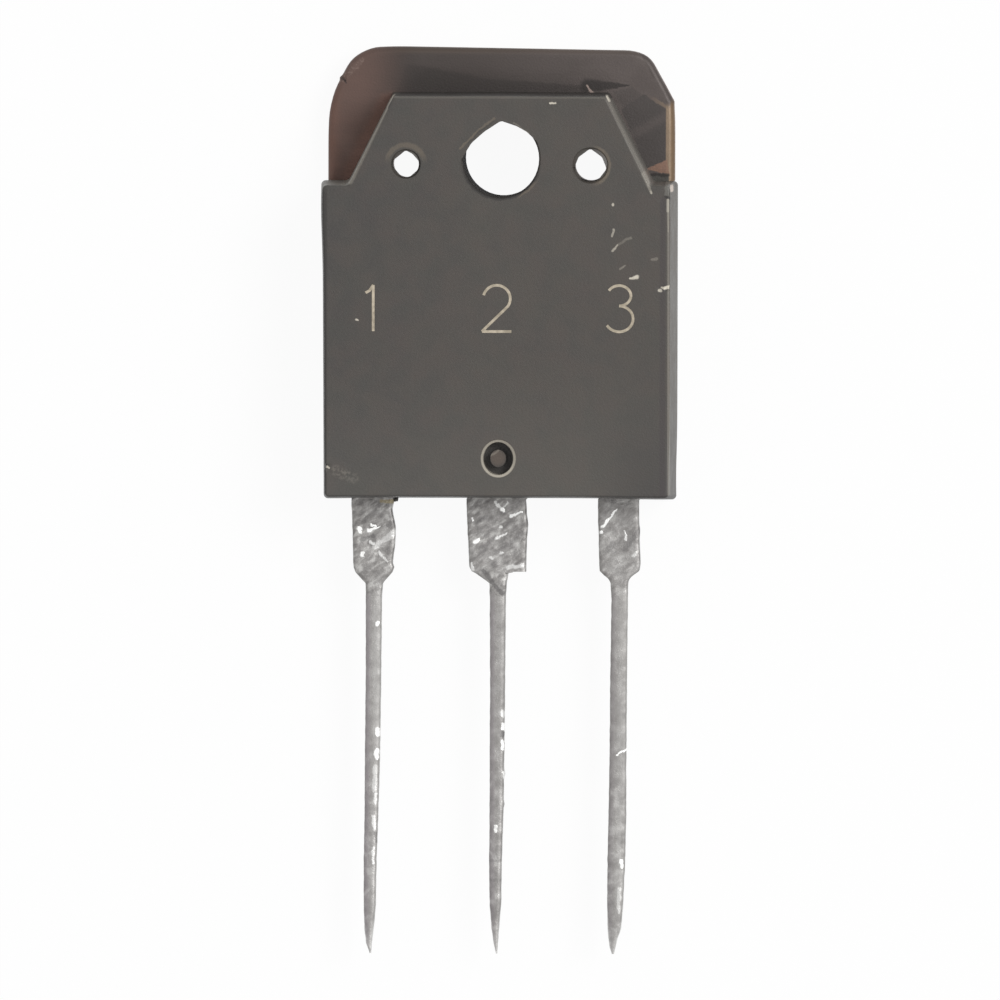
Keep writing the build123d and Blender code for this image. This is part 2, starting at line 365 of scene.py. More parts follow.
class Graph(Tree):
    """Node tree of a new material, built in millimetres on the object's own axes."""

    def __init__(self, name: str) -> None:
        """Start an empty material.

        Args:
            name: Name of the material.
        """
        self.material = bpy.data.materials.new(name)
        super().__init__(self.material)
        metres = Arrow(self, self.node("ShaderNodeTexCoord").outputs["Object"])
        self.place = metres * (1 / MM, 1 / MM, 1 / MM)
        self.flat = self.place * (1, 1, 0)
        self.x, self.y, self.z = self.place.parts()

    def grain(
        self,
        size: float,
        detail: float = 2.0,
        stretch: Point = (1, 1, 1),
        seed: float = 0,
        turn: float = 0,
    ) -> Signal:
        """Smooth noise, spread over 0 to 1.

        Args:
            size: Rough size of a grain, in millimetres.
            detail: Octaves of finer noise.
            stretch: Factor on the grain's size along each axis.
            seed: Offset that gives another pattern.
            turn: Angle in degrees that the stretched grains are turned by, about Z.

        Returns:
            The noise.
        """
        place = self.place
        if turn:
            inputs = {"Vector": place, "Angle": -math.radians(turn)}
            turned = self.node("ShaderNodeVectorRotate", {"rotation_type": "Z_AXIS"}, inputs)
            place = Arrow(self, turned.outputs["Vector"])
        spot = place * [1 / (size * factor) for factor in stretch] + (seed, seed, seed)
        inputs = {"Vector": spot, "Scale": 1.0, "Detail": detail, "Roughness": 0.5}
        return self.out(self.node("ShaderNodeTexNoise", {}, inputs), "Fac").rise(*NOISE_SPREAD)

    def unsettle(self, size: float, reach: float) -> None:
        """Make the borders of later marks uneven.

        Args:
            size: Rough size of a wave of the borders.
            reach: How far apart the waves shift a border.
        """
        waves = [self.grain(size, 2, seed=seed) - 0.5 for seed in WAVE_SEEDS]
        aside = self.along((reach, 0.0, 0.0), waves[0])
        ahead = self.along((0.0, reach, 0.0), waves[1])
        self.flat = self.flat + aside + ahead

    def stroke(self, start: Place, end: Place, half_width: float, taper: float = 0.0) -> Signal:
        """Mask of a straight mark, seen along Z.

        Args:
            start: X and Y of one end.
            end: X and Y of the other end.
            half_width: Half width at the start.
            taper: Share of the width that is lost at the end.

        Returns:
            1 along the mark and 0 away from it, with a soft edge.
        """
        run = (end[0] - start[0], end[1] - start[1], 0.0)
        reach = run[0] ** 2 + run[1] ** 2
        from_start = self.flat - (*start, 0.0)
        share = (from_start.dot(run) / reach) & 1.0 | 0.0
        away = (from_start - self.along(run, share)).length()
        width = half_width * (1.0 - taper * share)
        return (away / width).fall(*SOFT_EDGE)

    def spot(self, centre: Place, radius: float) -> Signal:
        """Mask of a round spot, seen along Z, with a soft edge."""
        return ((self.flat - (*centre, 0.0)).length() / radius).fall(*SOFT_EDGE)

    def patch(self, corners: Sequence[Place], softness: float) -> Signal:
        """Mask of a convex polygon, seen along Z.

        Args:
            corners: Corners, anticlockwise.
            softness: Width of the soft border.

        Returns:
            1 inside and 0 outside.
        """
        sides = []
        for (x1, y1), (x2, y2) in zip(corners, [*corners[1:], corners[0]]):
            length = math.hypot(x2 - x1, y2 - y1)
            inward = ((y1 - y2) / length, (x2 - x1) / length, 0.0)
            side = (self.flat - (x1, y1, 0.0)).dot(inward)
            sides.append(side.rise(-softness / 2, softness / 2))
        return functools.reduce(operator.mul, sides)

    def ring(self, centre: Place, radius: float, half_width: float, stretch: Place = (1, 1)) -> Signal:
        """Mask of a round or oval line, seen along Z, with soft edges.

        Args:
            centre: X and Y of its middle.
            radius: Radius of the middle of the line.
            half_width: Half width of the line.
            stretch: Factors on the radius along X and along Y.

        Returns:
            1 on the line and 0 away from it.
        """
        spot = (self.flat - (*centre, 0.0)) * (1 / stretch[0], 1 / stretch[1], 0.0)
        return (abs(spot.length() - radius) / half_width).fall(*SOFT_EDGE)

    def relief(self, height: Signal, depth: float) -> bpy.types.NodeSocket:
        """Normal of a surface with a fine relief.

        Args:
            height: Relief, 0 to 1.
            depth: Height of the relief, in millimetres.

        Returns:
            The normal's socket.
        """
        inputs = {"Height": height, "Distance": depth * MM, "Strength": 1.0}
        return self.node("ShaderNodeBump", {}, inputs).outputs["Normal"]

    def surface(self, inputs: dict) -> bpy.types.Material:
        """Close the tree with one Principled shader.

        Args:
            inputs: Values or links of the shader's sockets.

        Returns:
            The finished material.
        """
        shader = self.node("ShaderNodeBsdfPrincipled", {}, inputs)
        self.node("ShaderNodeOutputMaterial", {}, {"Surface": shader.outputs["BSDF"]})
        return self.material


# ---------------------------------------------------------------------------
# Surfaces that can be worn
# ---------------------------------------------------------------------------


def add_object(name: str, data: bpy.types.ID) -> bpy.types.Object:
    """Put a mesh, lamp or camera in the scene.

    Args:
        name: Name of the object.
        data: What it shows.

    Returns:
        The new object.
    """
    made = bpy.data.objects.new(name, data)
    bpy.context.scene.collection.objects.link(made)
    return made


class Skin:
    """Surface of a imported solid, in millimetres, cut finely enough to be worn and dented.

    Every edge keeps its place, and each flat area gets a grid of points inside its outline.
    """

    WELD = 1e-5
    FLATNESS = 2e-4
    SLIVER = 1e-5
    SAME_WAY = 0.9999
    NO_AREA = 1e-12
    CUT_REACH = 1e-7
    NARROW = 1.5
    CLEARANCE = 0.6

    def __init__(self, node: str, spacing: Callable[[np.ndarray, np.ndarray], float]) -> None:
        """Cut the surface of a node.

        Args:
            node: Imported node.
            spacing: Distance between points, from a flat area's centre and normal.
        """
        solid = bmesh.new()
        solid.from_mesh(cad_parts[node].data)
        solid.transform(Matrix.Scale(1 / MM, 4))
        bmesh.ops.remove_doubles(solid, verts=solid.verts, dist=self.WELD)
        self.faces: list[tuple[int, ...]] = []
        self._points = [tuple(vertex.co) for vertex in solid.verts]
        solid.faces.ensure_lookup_table()
        areas = self._flat_areas(solid)
        owner = {face.index: number for number, area in enumerate(areas) for face in area}
        steps = []
        for area in areas:
            centre = sum((f.calc_center_median() * f.calc_area() for f in area), Vector())
            centre /= max(sum(f.calc_area() for f in area), self.NO_AREA)
            steps.append(spacing(np.array(centre), np.array(area[0].normal)))
        chains: dict[int, list[int]] = {}
        borders: list[list[int]] = [[] for _ in areas]
        for edge in solid.edges:
            sides = {owner[face.index] for face in edge.link_faces}
            if len(sides) < 2:
                continue
            chains[edge.index] = self._cut_edge(edge, min(steps[side] for side in sides))
            for side in sides:
                borders[side].append(edge.index)
        for area, border, step in zip(areas, borders, steps):
            self._fill(area, [chains[index] for index in border], step)
        self.points = np.array(self._points)
        solid.free()

    def _flat_areas(self, solid: bmesh.types.BMesh) -> list[list[bmesh.types.BMFace]]:
        """Group touching faces that lie in one plane, from the largest face down.

        Args:
            solid: The solid, with its face table up to date.

        Returns:
            The faces of each area.
        """
        areas = []
        seen: set[int] = set()
        for seed in sorted(solid.faces, key=lambda face: -face.calc_area()):
            if seed.index in seen:
                continue
            seen.add(seed.index)
            group = [seed]
            origin = seed.verts[0].co
            for face in group:
                for edge in face.edges:
                    for other in edge.link_faces:
                        if other.index in seen:
                            continue
                        heights = [abs((v.co - origin).dot(seed.normal)) for v in other.verts]
                        level = max(heights) < self.FLATNESS
                        thin = other.calc_area() < self.SLIVER
                        if level and (thin or other.normal.dot(seed.normal) > self.SAME_WAY):
                            seen.add(other.index)
                            group.append(other)
            areas.append(group)
        return areas

    def _cut_edge(self, edge: bmesh.types.BMEdge, step: float) -> list[int]:
        """Cut an edge into equal pieces.

        Args:
            edge: The edge.
            step: Greatest distance between two points.

        Returns:
            Indexes of the points along it, both ends included.
        """
        first, last = edge.verts
        count = max(1, math.ceil(edge.calc_length() / step))
        chain = [first.index]
        for number in range(1, count):
            chain.append(len(self._points))
            self._points.append(tuple(first.co.lerp(last.co, number / count)))
        return [*chain, last.index]

    def _fill(self, area: list[bmesh.types.BMFace], chains: list[list[int]], step: float) -> None:
        """Cover one flat area with triangles between its borders.

        Args:
            area: Faces of the area.
            chains: Points along each border edge.
            step: Distance between the points inside.
        """
        normal = area[0].normal
        across = normal.orthogonal().normalized()
        up = normal.cross(across)
        origin = area[0].verts[0].co.copy()
        indexes = list(dict.fromkeys(index for chain in chains for index in chain))
        where = {index: number for number, index in enumerate(indexes)}
        flat = []
        for index in indexes:
            offset = Vector(self._points[index]) - origin
            flat.append(Vector((offset.dot(across), offset.dot(up))))
        edges = [(where[a], where[b]) for chain in chains for a, b in zip(chain, chain[1:])]
        for spot in self._grid(flat, edges, step):
            flat.append(spot)
            indexes.append(len(self._points))
            self._points.append(tuple(origin + across * spot.x + up * spot.y))
        starts, ends = self._sides(flat, edges)
        places, _, triangles, sources, _, _ = delaunay_2d_cdt(flat, edges, [], 1, self.CUT_REACH)
        names = []
        for place, source in zip(places, sources):
            if source:
                names.append(indexes[source[0]])
            else:
                names.append(len(self._points))
                self._points.append(tuple(origin + across * place.x + up * place.y))
        for triangle in triangles:
            middle = sum((places[corner] for corner in triangle), Vector((0, 0))) / 3
            if np.count_nonzero(self._crossings(starts, ends, middle.y) > middle.x) % 2:
                self.faces.append(tuple(names[corner] for corner in triangle))

    @staticmethod
    def _sides(flat: list[Vector], edges: list[tuple[int, int]]) -> tuple[np.ndarray, np.ndarray]:
        """First and last points of each side of an outline."""
        return np.array([flat[a] for a, _ in edges]), np.array([flat[b] for _, b in edges])

    @staticmethod
    def _crossings(starts: np.ndarray, ends: np.ndarray, level: float) -> np.ndarray:
        """Places where a level line meets the sides of an outline.

        Args:
            starts: First point of each side.
            ends: Last point of each side.
            level: Height of the line.

        Returns:
            How far along the line each crossing lies.
        """
        crosses = (starts[:, 1] > level) != (ends[:, 1] > level)
        first, last = starts[crosses], ends[crosses]
        share = (level - first[:, 1]) / (last[:, 1] - first[:, 1])
        return first[:, 0] + share * (last[:, 0] - first[:, 0])

    def _grid(self, flat: list[Vector], edges: list[tuple[int, int]], step: float) -> Iterable[Vector]:
        """Grid points inside an outline, clear of it.

        Args:
            flat: Points of the outline.
            edges: Pairs of points that the outline joins.
            step: Distance between the points.

        Yields:
            Points of the grid.
        """
        low_x, high_x = min(p.x for p in flat), max(p.x for p in flat)
        low_y, high_y = min(p.y for p in flat), max(p.y for p in flat)
        if min(high_x - low_x, high_y - low_y) < self.NARROW * step:
            return
        tree = KDTree(len(flat))
        for number, spot in enumerate(flat):
            tree.insert((spot.x, spot.y, 0), number)
        tree.balance()
        starts, ends = self._sides(flat, edges)
        for row in range(1, math.ceil((high_y - low_y) / step)):
            level = low_y + row * step
            crossings = np.sort(self._crossings(starts, ends, level))
            for left, right in zip(crossings[::2], crossings[1::2]):
                first = math.ceil((left - low_x) / step)
                last = int((right - low_x) / step)
                for column in range(first, last + 1):
                    spot = Vector((low_x + column * step, level))
                    if tree.find((spot.x, spot.y, 0))[2] > self.CLEARANCE * step:
                        yield spot

    def open_edges(self) -> int:
        """Count the edges that don't join exactly two faces.

        Returns:
            Their number, 0 for a closed surface.
        """
        uses: dict[tuple[int, int], int] = {}
        for face in self.faces:
            for pair in zip(face, (*face[1:], face[0])):
                key = tuple(sorted(pair))
                uses[key] = uses.get(key, 0) + 1
        return sum(1 for count in uses.values() if count != 2)

    def to_object(self, name: str, crease: float = 30.0) -> bpy.types.Object:
        """Make a Blender object of the surface.

        Args:
            name: Name of the object.
            crease: Angle in degrees from which an edge looks sharp.

        Returns:
            The new object, in metres.
        """
        mesh = bpy.data.meshes.new(name)
        mesh.from_pydata((self.points * MM).tolist(), [], self.faces)
        mesh.validate()
        mesh.shade_smooth()
        mesh.set_sharp_from_angle(angle=math.radians(crease))
        return add_object(name, mesh)


@dataclass(frozen=True)
class Scoop:
    """A bite out of a surface, as a rounded tool that runs from one point to another leaves it."""

    start: Point
    end: Point
    radius: float
    roughness: float = 0.15
    ripple_share: float = 0.45
    on_axis: float = 1e-6

    def wear(self, skin: Skin) -> None:
        """Push the points that the tool covers onto its own surface.

        Args:
            skin: Surface that is worn.
        """
        start, run = np.array(self.start), np.subtract(self.end, self.start)
        reach = max(float(run @ run), TINY)
        share = ((skin.points - start) @ run / reach).clip(0, 1)[:, None]
        offset = skin.points - (start + share * run)
        distance = np.linalg.norm(offset, axis=1)
        for index in np.nonzero(distance < self.radius * (1 + self.roughness))[0]:
            unevenness = noise.noise(Vector(skin.points[index]) / (self.ripple_share * self.radius))
            radius = self.radius * (1 + self.roughness * unevenness)
            if self.on_axis < distance[index] < radius:
                skin.points[index] += offset[index] * (radius / distance[index] - 1)


@dataclass(frozen=True)
class Lump:
    """A soft bump or hollow: points near the centre move by the shift."""

    centre: Point
    size: Point
    shift: Point

    def wear(self, skin: Skin) -> None:
        """Move the points near the centre."""
        away = ((skin.points - np.array(self.centre)) / np.array(self.size)) ** 2
        skin.points += np.exp(-away.sum(axis=1))[:, None] * np.array(self.shift)


@dataclass(frozen=True)
class Web:
    """Thin resin flash in a round hole, with straight edges.

    Each edge is given by the direction in degrees that it faces, and its distance from the centre.
    """

    centre: Place
    hole_radius: float
    low: float
    edges: tuple[tuple[float, float], ...]

    def wear(self, skin: Skin) -> None:
        """Draw the wall of the hole in to the edges of the web.

        Args:
            skin: Surface that the hole belongs to.
        """
        for facing, setback in self.edges:
            way = np.array((math.cos(math.radians(facing)), math.sin(math.radians(facing))))
            offset = skin.points[:, :2] - np.array(self.centre)
            beyond = offset @ way - setback
            mouth = np.hypot(offset[:, 0], offset[:, 1]) < self.hole_radius
            drawn = mouth & (skin.points[:, 2] > self.low) & (beyond > 0)
            skin.points[drawn, :2] -= beyond[drawn, None] * way


@dataclass(frozen=True)
class Bore:
    """A round hole, worn wider or narrower along X and Y, or off its centre, above some height.

    The whole shift holds up to the reach from its centre, and fades out at twice the reach.
    """

    centre: Place
    reach: float
    growth: Place
    shift: Place
    low: float = -1.0

    def wear(self, skin: Skin) -> None:
        """Move the hole's wall, and the surface round it by less and less.

        Args:
            skin: Surface that the hole belongs to.
        """
        offset = skin.points[:, :2] - np.array(self.centre)
        share = (2 - np.hypot(offset[:, 0], offset[:, 1]) / self.reach).clip(0, 1)
        share *= skin.points[:, 2] > self.low
        skin.points[:, :2] += share[:, None] * (offset * np.array(self.growth) + np.array(self.shift))


def ripple(points: np.ndarray, size: float, seed: float) -> np.ndarray:
    """Smooth noise, about -1 to 1, at each point.

    Args:
        points: Points in millimetres.
        size: Rough size of a wave.
        seed: Offset that gives another pattern.

    Returns:
        One value for each point.
    """
    shift = Vector((seed, seed, seed))
    return np.array([noise.noise(Vector(point) / size + shift) for point in points])


# The moulding and the header are worn alike round the holes that run through both.
HOLE_WEAR = (
    Bore(MOUNTING_HOLE, 1.75, (0.02, 0.02), (0.07, 0.0)),
    Bore((-CLAMP_HOLE[0], CLAMP_HOLE[1]), 0.9, (-0.02, -0.02), (-0.12, 0.0)),
    Bore(CLAMP_HOLE, 0.9, (0.14, 0.14), (-0.13, -0.03)),
)


# ---------------------------------------------------------------------------
# Finishes
# ---------------------------------------------------------------------------


class Slot(Enum):
    """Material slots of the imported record."""

    EPOXY = "epoxy"
    COPPER = "header_copper"
    TIN = "tinned_lead"


@dataclass(frozen=True)
class Mark:
    """A straight scuff or scratch, seen along Z."""

    start: Place
    end: Place
    half_width: float = 0.05
    taper: float = 0.0
    strength: float = 1.0

    def mask(self, g: Graph) -> Signal:
        """Where the mark lies, as strong as it is."""
        return g.stroke(self.start, self.end, self.half_width, self.taper) * self.strength


@dataclass(frozen=True)
class Patch:
    """A straight-edged area of another tone, seen along Z, with its corners anticlockwise."""

    corners: tuple[Place, ...]
    softness: float
    strength: float = 1.0

    def mask(self, g: Graph) -> Signal:
        """Where the area lies, as strong as it is."""
        return g.patch(self.corners, self.softness) * self.strength


@dataclass(frozen=True)
class Ring:
    """A round or oval line, seen along Z, which may fade out at one side."""

    centre: Place
    radius: float
    half_width: float
    stretch: Place = (1, 1)
    strength: float = 1.0
    right_of: Span | None = None
    above: Span | None = None
    below: Span | None = None

    def mask(self, g: Graph) -> Signal:
        """Where the line lies, as strong as it is.

        Args:
            g: Material that it lies on.

        Returns:
            The mask.
        """
        mask = g.ring(self.centre, self.radius, self.half_width, self.stretch) * self.strength
        if self.right_of:
            mask = mask * g.x.rise(*self.right_of)
        if self.above:
            mask = mask * g.y.rise(*self.above)
        if self.below:
            mask = mask * g.y.fall(*self.below)
        return mask


def together(g: Graph, marks: Iterable[Mark | Patch]) -> Signal:
    """Mask of several marks, each as strong as it says.

    Args:
        g: Material that they lie on.
        marks: The marks.

    Returns:
        The mask.
    """
    return functools.reduce(operator.or_, [mark.mask(g) for mark in marks])


def coat(g: Graph, colour: Tint, *layers: tuple[Colour, Mark | Patch | Ring]) -> Tint:
    """Paint marks over a colour, one after the other.

    Args:
        g: Material that they lie on.
        colour: Colour so far.
        layers: Colour and mark of each layer, the lowest first.

    Returns:
        The new colour.
    """
    for tone, mark in layers:
        colour = colour.under(tone, mark.mask(g))
    return colour


@dataclass(frozen=True)
class EpoxyFinish:
    """Warm dark grey moulding compound, matt, with fine filler grains and pale scuffs, and with light and
    shade painted into its colour at its edges, walls and holes.

    Spans are the places in millimetres between which something fades. Those of the front, the
    nose, the edges, the foot and the pip count from the moulding's own corners, lip_foot from the
    ejector mark, hole_reach from the middle of the mounting hole, and the others from the origin.
    """

    face: Colour = linear(62, 58, 54)
    shade: Colour = linear(54, 51, 49)
    warm: Colour = linear(78, 66, 60)
    green: Colour = linear(63, 66, 57)
    # Pale tone of painted light on the flank, shoulder and right walls, towards the leads and on the right
    # shoulder's end.
    wall: Colour = linear(112, 110, 104)
    # Dark tone, mostly painted shade: on the nose's top wall, along the left and bottom edges, in the
    # holes, the ejector pit and the corner notch; also the cracks.
    deep: Colour = linear(34, 31, 29)
    pip: Colour = linear(78, 68, 60)
    # Pale tone of scuffs, also used for painted highlights on edges and on the ejector mark.
    scuff_and_highlight: Colour = linear(222, 214, 198)
    # Olive tone of resin flash, spill and rims round the holes, also used for painted highlights on the
    # upper rims.
    olive: Colour = linear(122, 110, 94)
    # Plum tone of the darker band beside the right edge.
    plum: Colour = linear(55, 49, 50)
    # Pale tone of a painted highlight on the end of the right shoulder wall.
    bone: Colour = linear(186, 174, 164)
    roughness: float = 0.44
    relief: float = 0.005
    filler_size: float = 0.09
    dust_size: float = 0.035
    mottle_size: float = 0.9
    tint_size: float = 1.1
    cloud_size: float = 4.5
    # Where the painted shade at the left and lower right and the painted light towards the leads fade.
    left_shade: Span = (-7.5, 1.0)
    right_shade: Span = (3.5, 7.0)
    foot_glow: Span = (-1.0, 7.0)
    front: Span = (-0.09, -0.02)
    flank: Span = (2.6, 4.2)
    # Where the painted shade on the nose's top wall and along the edges, and the painted light on the right
    # wall, fade.
    nose_wall: Span = (-0.3, -0.2)
    nose_lip: Span = (-0.16, -0.05)
    shoulder: Span = (-1.6, -1.2)
    right_wall: Span = (6.8, 7.0)
    left_edge: Span = (0.2, 0.3)
    bottom_edge: Span = (0.16, 0.26)
    # A darker plum band just inside the right edge.
    right_plum_band: Mark = Mark((7.22, -1.8), (7.22, -14.9), 0.14, strength=0.6)
    smudge: Mark = Mark((-7.2, -13.75), (-6.4, -14.12), 0.24, strength=0.09)
    smudge_speck: float = 0.16
    lip: Ring = Ring((-0.02, -13.23), 0.745, 0.062, (0.96, 1.04))
    lip_light: Span = (-0.6, 0.7)
    lip_foot: Span = (-0.7, 0.0)
    pit_radius: float = 0.8
    pip_place: Place = (-0.05, -13.21)
    pip_radius: float = 0.38
    pip_height: Span = (-0.6, -0.5)
    pit_glint: Mark = Mark((-0.36, -13.11), (-0.02, -12.89), 0.05, strength=0.12)
    hole_reach: Span = (1.7, 1.74)
    # Painted shade on the low rim of the mounting hole.
    hole_foot: Ring = Ring((0.07, -0.03), 1.73, 0.09, strength=0.95, below=(-1.15, 0.1))
    # Olive line on the mounting hole's upper-left rim: resin flash with a painted highlight on the chamfer.
    flash: tuple[Mark, ...] = (
        Mark((-0.22, 1.77), (-0.92, 1.26), 0.05, strength=0.35),
        Mark((-0.92, 1.26), (-1.72, 0.45), 0.05, strength=0.35),
    )
    cracks: tuple[Mark, ...] = (
        Mark((-0.26, 1.66), (-0.92, 1.16), 0.04, strength=0.4),
        Mark((-0.92, 1.16), (-1.32, 0.7), 0.04, strength=0.4),
    )
    spill: Ring = Ring(WORN_HOLE, 1.84, 0.05, strength=0.35, right_of=(0.7, 1.0), below=(-1.3, -0.8))
    hole_scuff: Mark = Mark((0.62, 1.6), (1.3, 1.1), 0.04, strength=0.1)
    left_shadow: Ring = Ring((-4.13, -0.24), 0.62, 0.08, strength=0.6, right_of=(-3.95, -3.7))
    # Painted highlight on the upper half of the left clamp hole's rim.
    left_rim: Ring = Ring((-4.13, -0.24), 0.84, 0.12, strength=0.32, above=(-0.3, 0.3))
    right_rim: Ring = Ring((4.01, -0.29), 0.84, 0.09, right_of=(4.0, 4.5))
    rim_speckle: float = 0.15
    # Painted light on the end of the right shoulder wall, and painted shade in the chipped notch below it.
    corner_block: Patch = Patch(((7.3, -1.6), (7.5, -1.6), (7.5, -1.0), (7.3, -1.0)), 0.05, 0.5)
    corner_bone: Patch = Patch(((7.53, -1.46), (7.64, -1.46), (7.64, -1.14), (7.53, -1.14)), 0.04)
    corner_notch: Mark = Mark((7.34, -1.66), (7.52, -1.72), 0.07, strength=0.9)

    def material(self, wear: "BodyMarks", low: np.ndarray, high: np.ndarray) -> bpy.types.Material:
        """Make the material.

        Args:
            wear: Marks of use on the moulding.
            low: Lowest corner of the moulding.
            high: Highest corner of the moulding.

        Returns:
            The material.
        """
        g = Graph("moulding_compound")
        lip = self.lip.mask(g)
        pit = g.spot(EJECTOR_MARK, self.pit_radius)
        pip = g.spot(self.pip_place, self.pip_radius)
        # Painted highlights along the nose's top edge and the right front edge, and edge wear with painted
        # highlight over the flank edges.
        straight = together(g, wear.lines)
        flanks = together(g, wear.edges) * g.z.rise(*self.flank)
        plum_band = self.right_plum_band.mask(g)
        g.unsettle(size=0.25, reach=0.05)
        fine = g.grain(self.filler_size, 3)
        mottle = g.grain(self.mottle_size, 2, seed=7)
        on_front = (g.z - high[2]).rise(*self.front)
        off_front = 1.0 - on_front
        colour = self._tone(g, fine, mottle, low)
        # Painted light on the nose's flank walls and on the left shoulder wall.
        colour = colour.under(self.wall, together(g, wear.walls) * off_front)
        colour = self._edges(g, colour, plum_band * on_front, off_front, low, high)
        colour = self._holes(g, colour, on_front)
        # Painted light on the end of the right shoulder wall, then painted shade in the notch below it.
        colour = coat(g, colour, (self.wall, self.corner_block), (self.bone, self.corner_bone))
        colour = coat(g, colour, (self.deep, self.corner_notch))
        # Painted shade in the ejector pit round the pip.
        colour = colour.under(self.deep, pit * off_front * 0.75)
        colour = colour.under(self.pip, pip * (g.z - high[2]).rise(*self.pip_height))
        # The worn ejector rim, with painted light making it brighter towards its right and its foot.
        foot = (g.y - EJECTOR_MARK[1]).fall(*self.lip_foot)
        lip = lip * (0.44 + 0.26 * g.x.rise(*self.lip_light) + 0.12 * foot) * (0.85 + 0.15 * mottle)
        marks = (together(g, wear.front) * on_front) | flanks
        smudge = self.smudge.mask(g) * on_front * g.grain(self.smudge_speck, 3, seed=31).rise(0.2, 1.0)
        # Pale marks: scuffs and a smudge, edge wear with painted highlight, painted highlights along edges
        # and on the pip, and the worn ejector rim.
        pale = (marks * (0.7 + 0.3 * fine)) | lip | self.pit_glint.mask(g) | straight | smudge
        height = fine * 0.6 + g.grain(self.dust_size, 1, seed=5) * 0.4 - pale * 0.8
        return g.surface({
            "Base Color": colour.under(self.scuff_and_highlight, pale),
            "Roughness": self.roughness + 0.1 * mottle + self._in_hole(g) * off_front,
            "IOR": 1.5,
            "Normal": g.relief(height, self.relief),
        })

    def _tone(self, g: Graph, fine: Signal, mottle: Signal, low: np.ndarray) -> Tint:
        """Mottled tone of the whole moulding, with painted shade at the left and at the lower right, and
        painted light towards the leads.

        Args:
            g: Material that it belongs to.
            fine: Fine filler grains.
            mottle: Coarser mottling.
            low: Lowest corner of the moulding.

        Returns:
            The colour.
        """
        foot = (g.y - low[1]).fall(*self.foot_glow)
        clouds = g.grain(self.cloud_size, 1, seed=3) * 0.3
        # Painted shade over the left of the moulding, with broad clouds.
        colour = g.blend(clouds + g.x.fall(*self.left_shade) * 0.75, self.face, self.shade)
        colour = colour.under(self.warm, mottle * 0.3)
        colour = colour.under(self.green, g.grain(self.tint_size, 2, seed=19) * 0.15)
        # Painted light towards the leads, with some filler grain, then painted shade at the lower right.
        colour = colour.under(self.wall, foot * 0.14 + fine * 0.05)
        return colour.under(self.shade, g.x.rise(*self.right_shade) * foot * 0.8)

    def _edges(
        self,
        g: Graph,
        colour: Tint,
        plum_band: Signal,
        off_front: Signal,
        low: np.ndarray,
        high: np.ndarray,
    ) -> Tint:
        """Paint shade on the nose's top wall and along the left and bottom edges, a darker plum band beside
        the right edge, and painted light on the right wall.

        Args:
            g: Material that they belong to.
            colour: Colour so far.
            plum_band: Mask of the darker plum band beside the right edge.
            off_front: Mask of all but the front face.
            low: Lowest corner of the moulding.
            high: Highest corner of the moulding.

        Returns:
            The new colour.
        """
        # Painted shade on the nose's top wall.
        nose = (g.y - high[1]).rise(*self.nose_wall) * (g.z - high[2]).fall(*self.nose_lip)
        colour = colour.under(self.deep, nose * 0.8)
        colour = colour.under(self.plum, plum_band)
        # Painted light on the right wall below the shoulder.
        block = g.y.fall(*self.shoulder)
        colour = colour.under(self.wall, g.x.rise(*self.right_wall) * block * off_front * 0.12)
        # Painted shade along the left edge below the shoulder and along the bottom edge.
        left = (g.x - low[0]).fall(*self.left_edge) * block
        bottom = (g.y - low[1]).fall(*self.bottom_edge)
        return colour.under(self.deep, (left | bottom) * 0.7)

    def _in_hole(self, g: Graph) -> Signal:
        """Mask of the mounting hole, seen along Z."""
        return (g.flat - (*WORN_HOLE, 0.0)).length().fall(*self.hole_reach)

    def _holes(self, g: Graph, colour: Tint, on_front: Signal) -> Tint:
        """Paint shade on the walls and low rim of the mounting hole and at the right of the left clamp
        hole, and warm the rims of the holes, partly as painted highlights on the upper rims of the mounting
        hole and the left clamp hole.

        Args:
            g: Material that they belong to.
            colour: Colour so far.
            on_front: Mask of the front face.

        Returns:
            The new colour.
        """
        # Painted shade on the mounting hole's walls and on its low rim.
        colour = colour.under(self.deep, self._in_hole(g) * (1.0 - on_front))
        colour = colour.under(self.deep, self.hole_foot.mask(g))
        # Resin flash with a painted highlight along the upper-left rim.
        colour = colour.under(self.olive, together(g, self.flash))
        colour = colour.under(self.deep, together(g, self.cracks))
        layers = ((self.olive, self.spill), (self.scuff_and_highlight, self.hole_scuff), (self.deep, self.left_shadow))
        colour = coat(g, colour, *layers)
        # Olive on the clamp holes' rims: a painted highlight on the upper half of the left one, speckled at
        # the right of the right one.
        speckled = self.right_rim.mask(g) * (0.25 + 0.25 * g.grain(self.rim_speckle, 2))
        return colour.under(self.olive, (self.left_rim.mask(g) | speckled) * on_front)


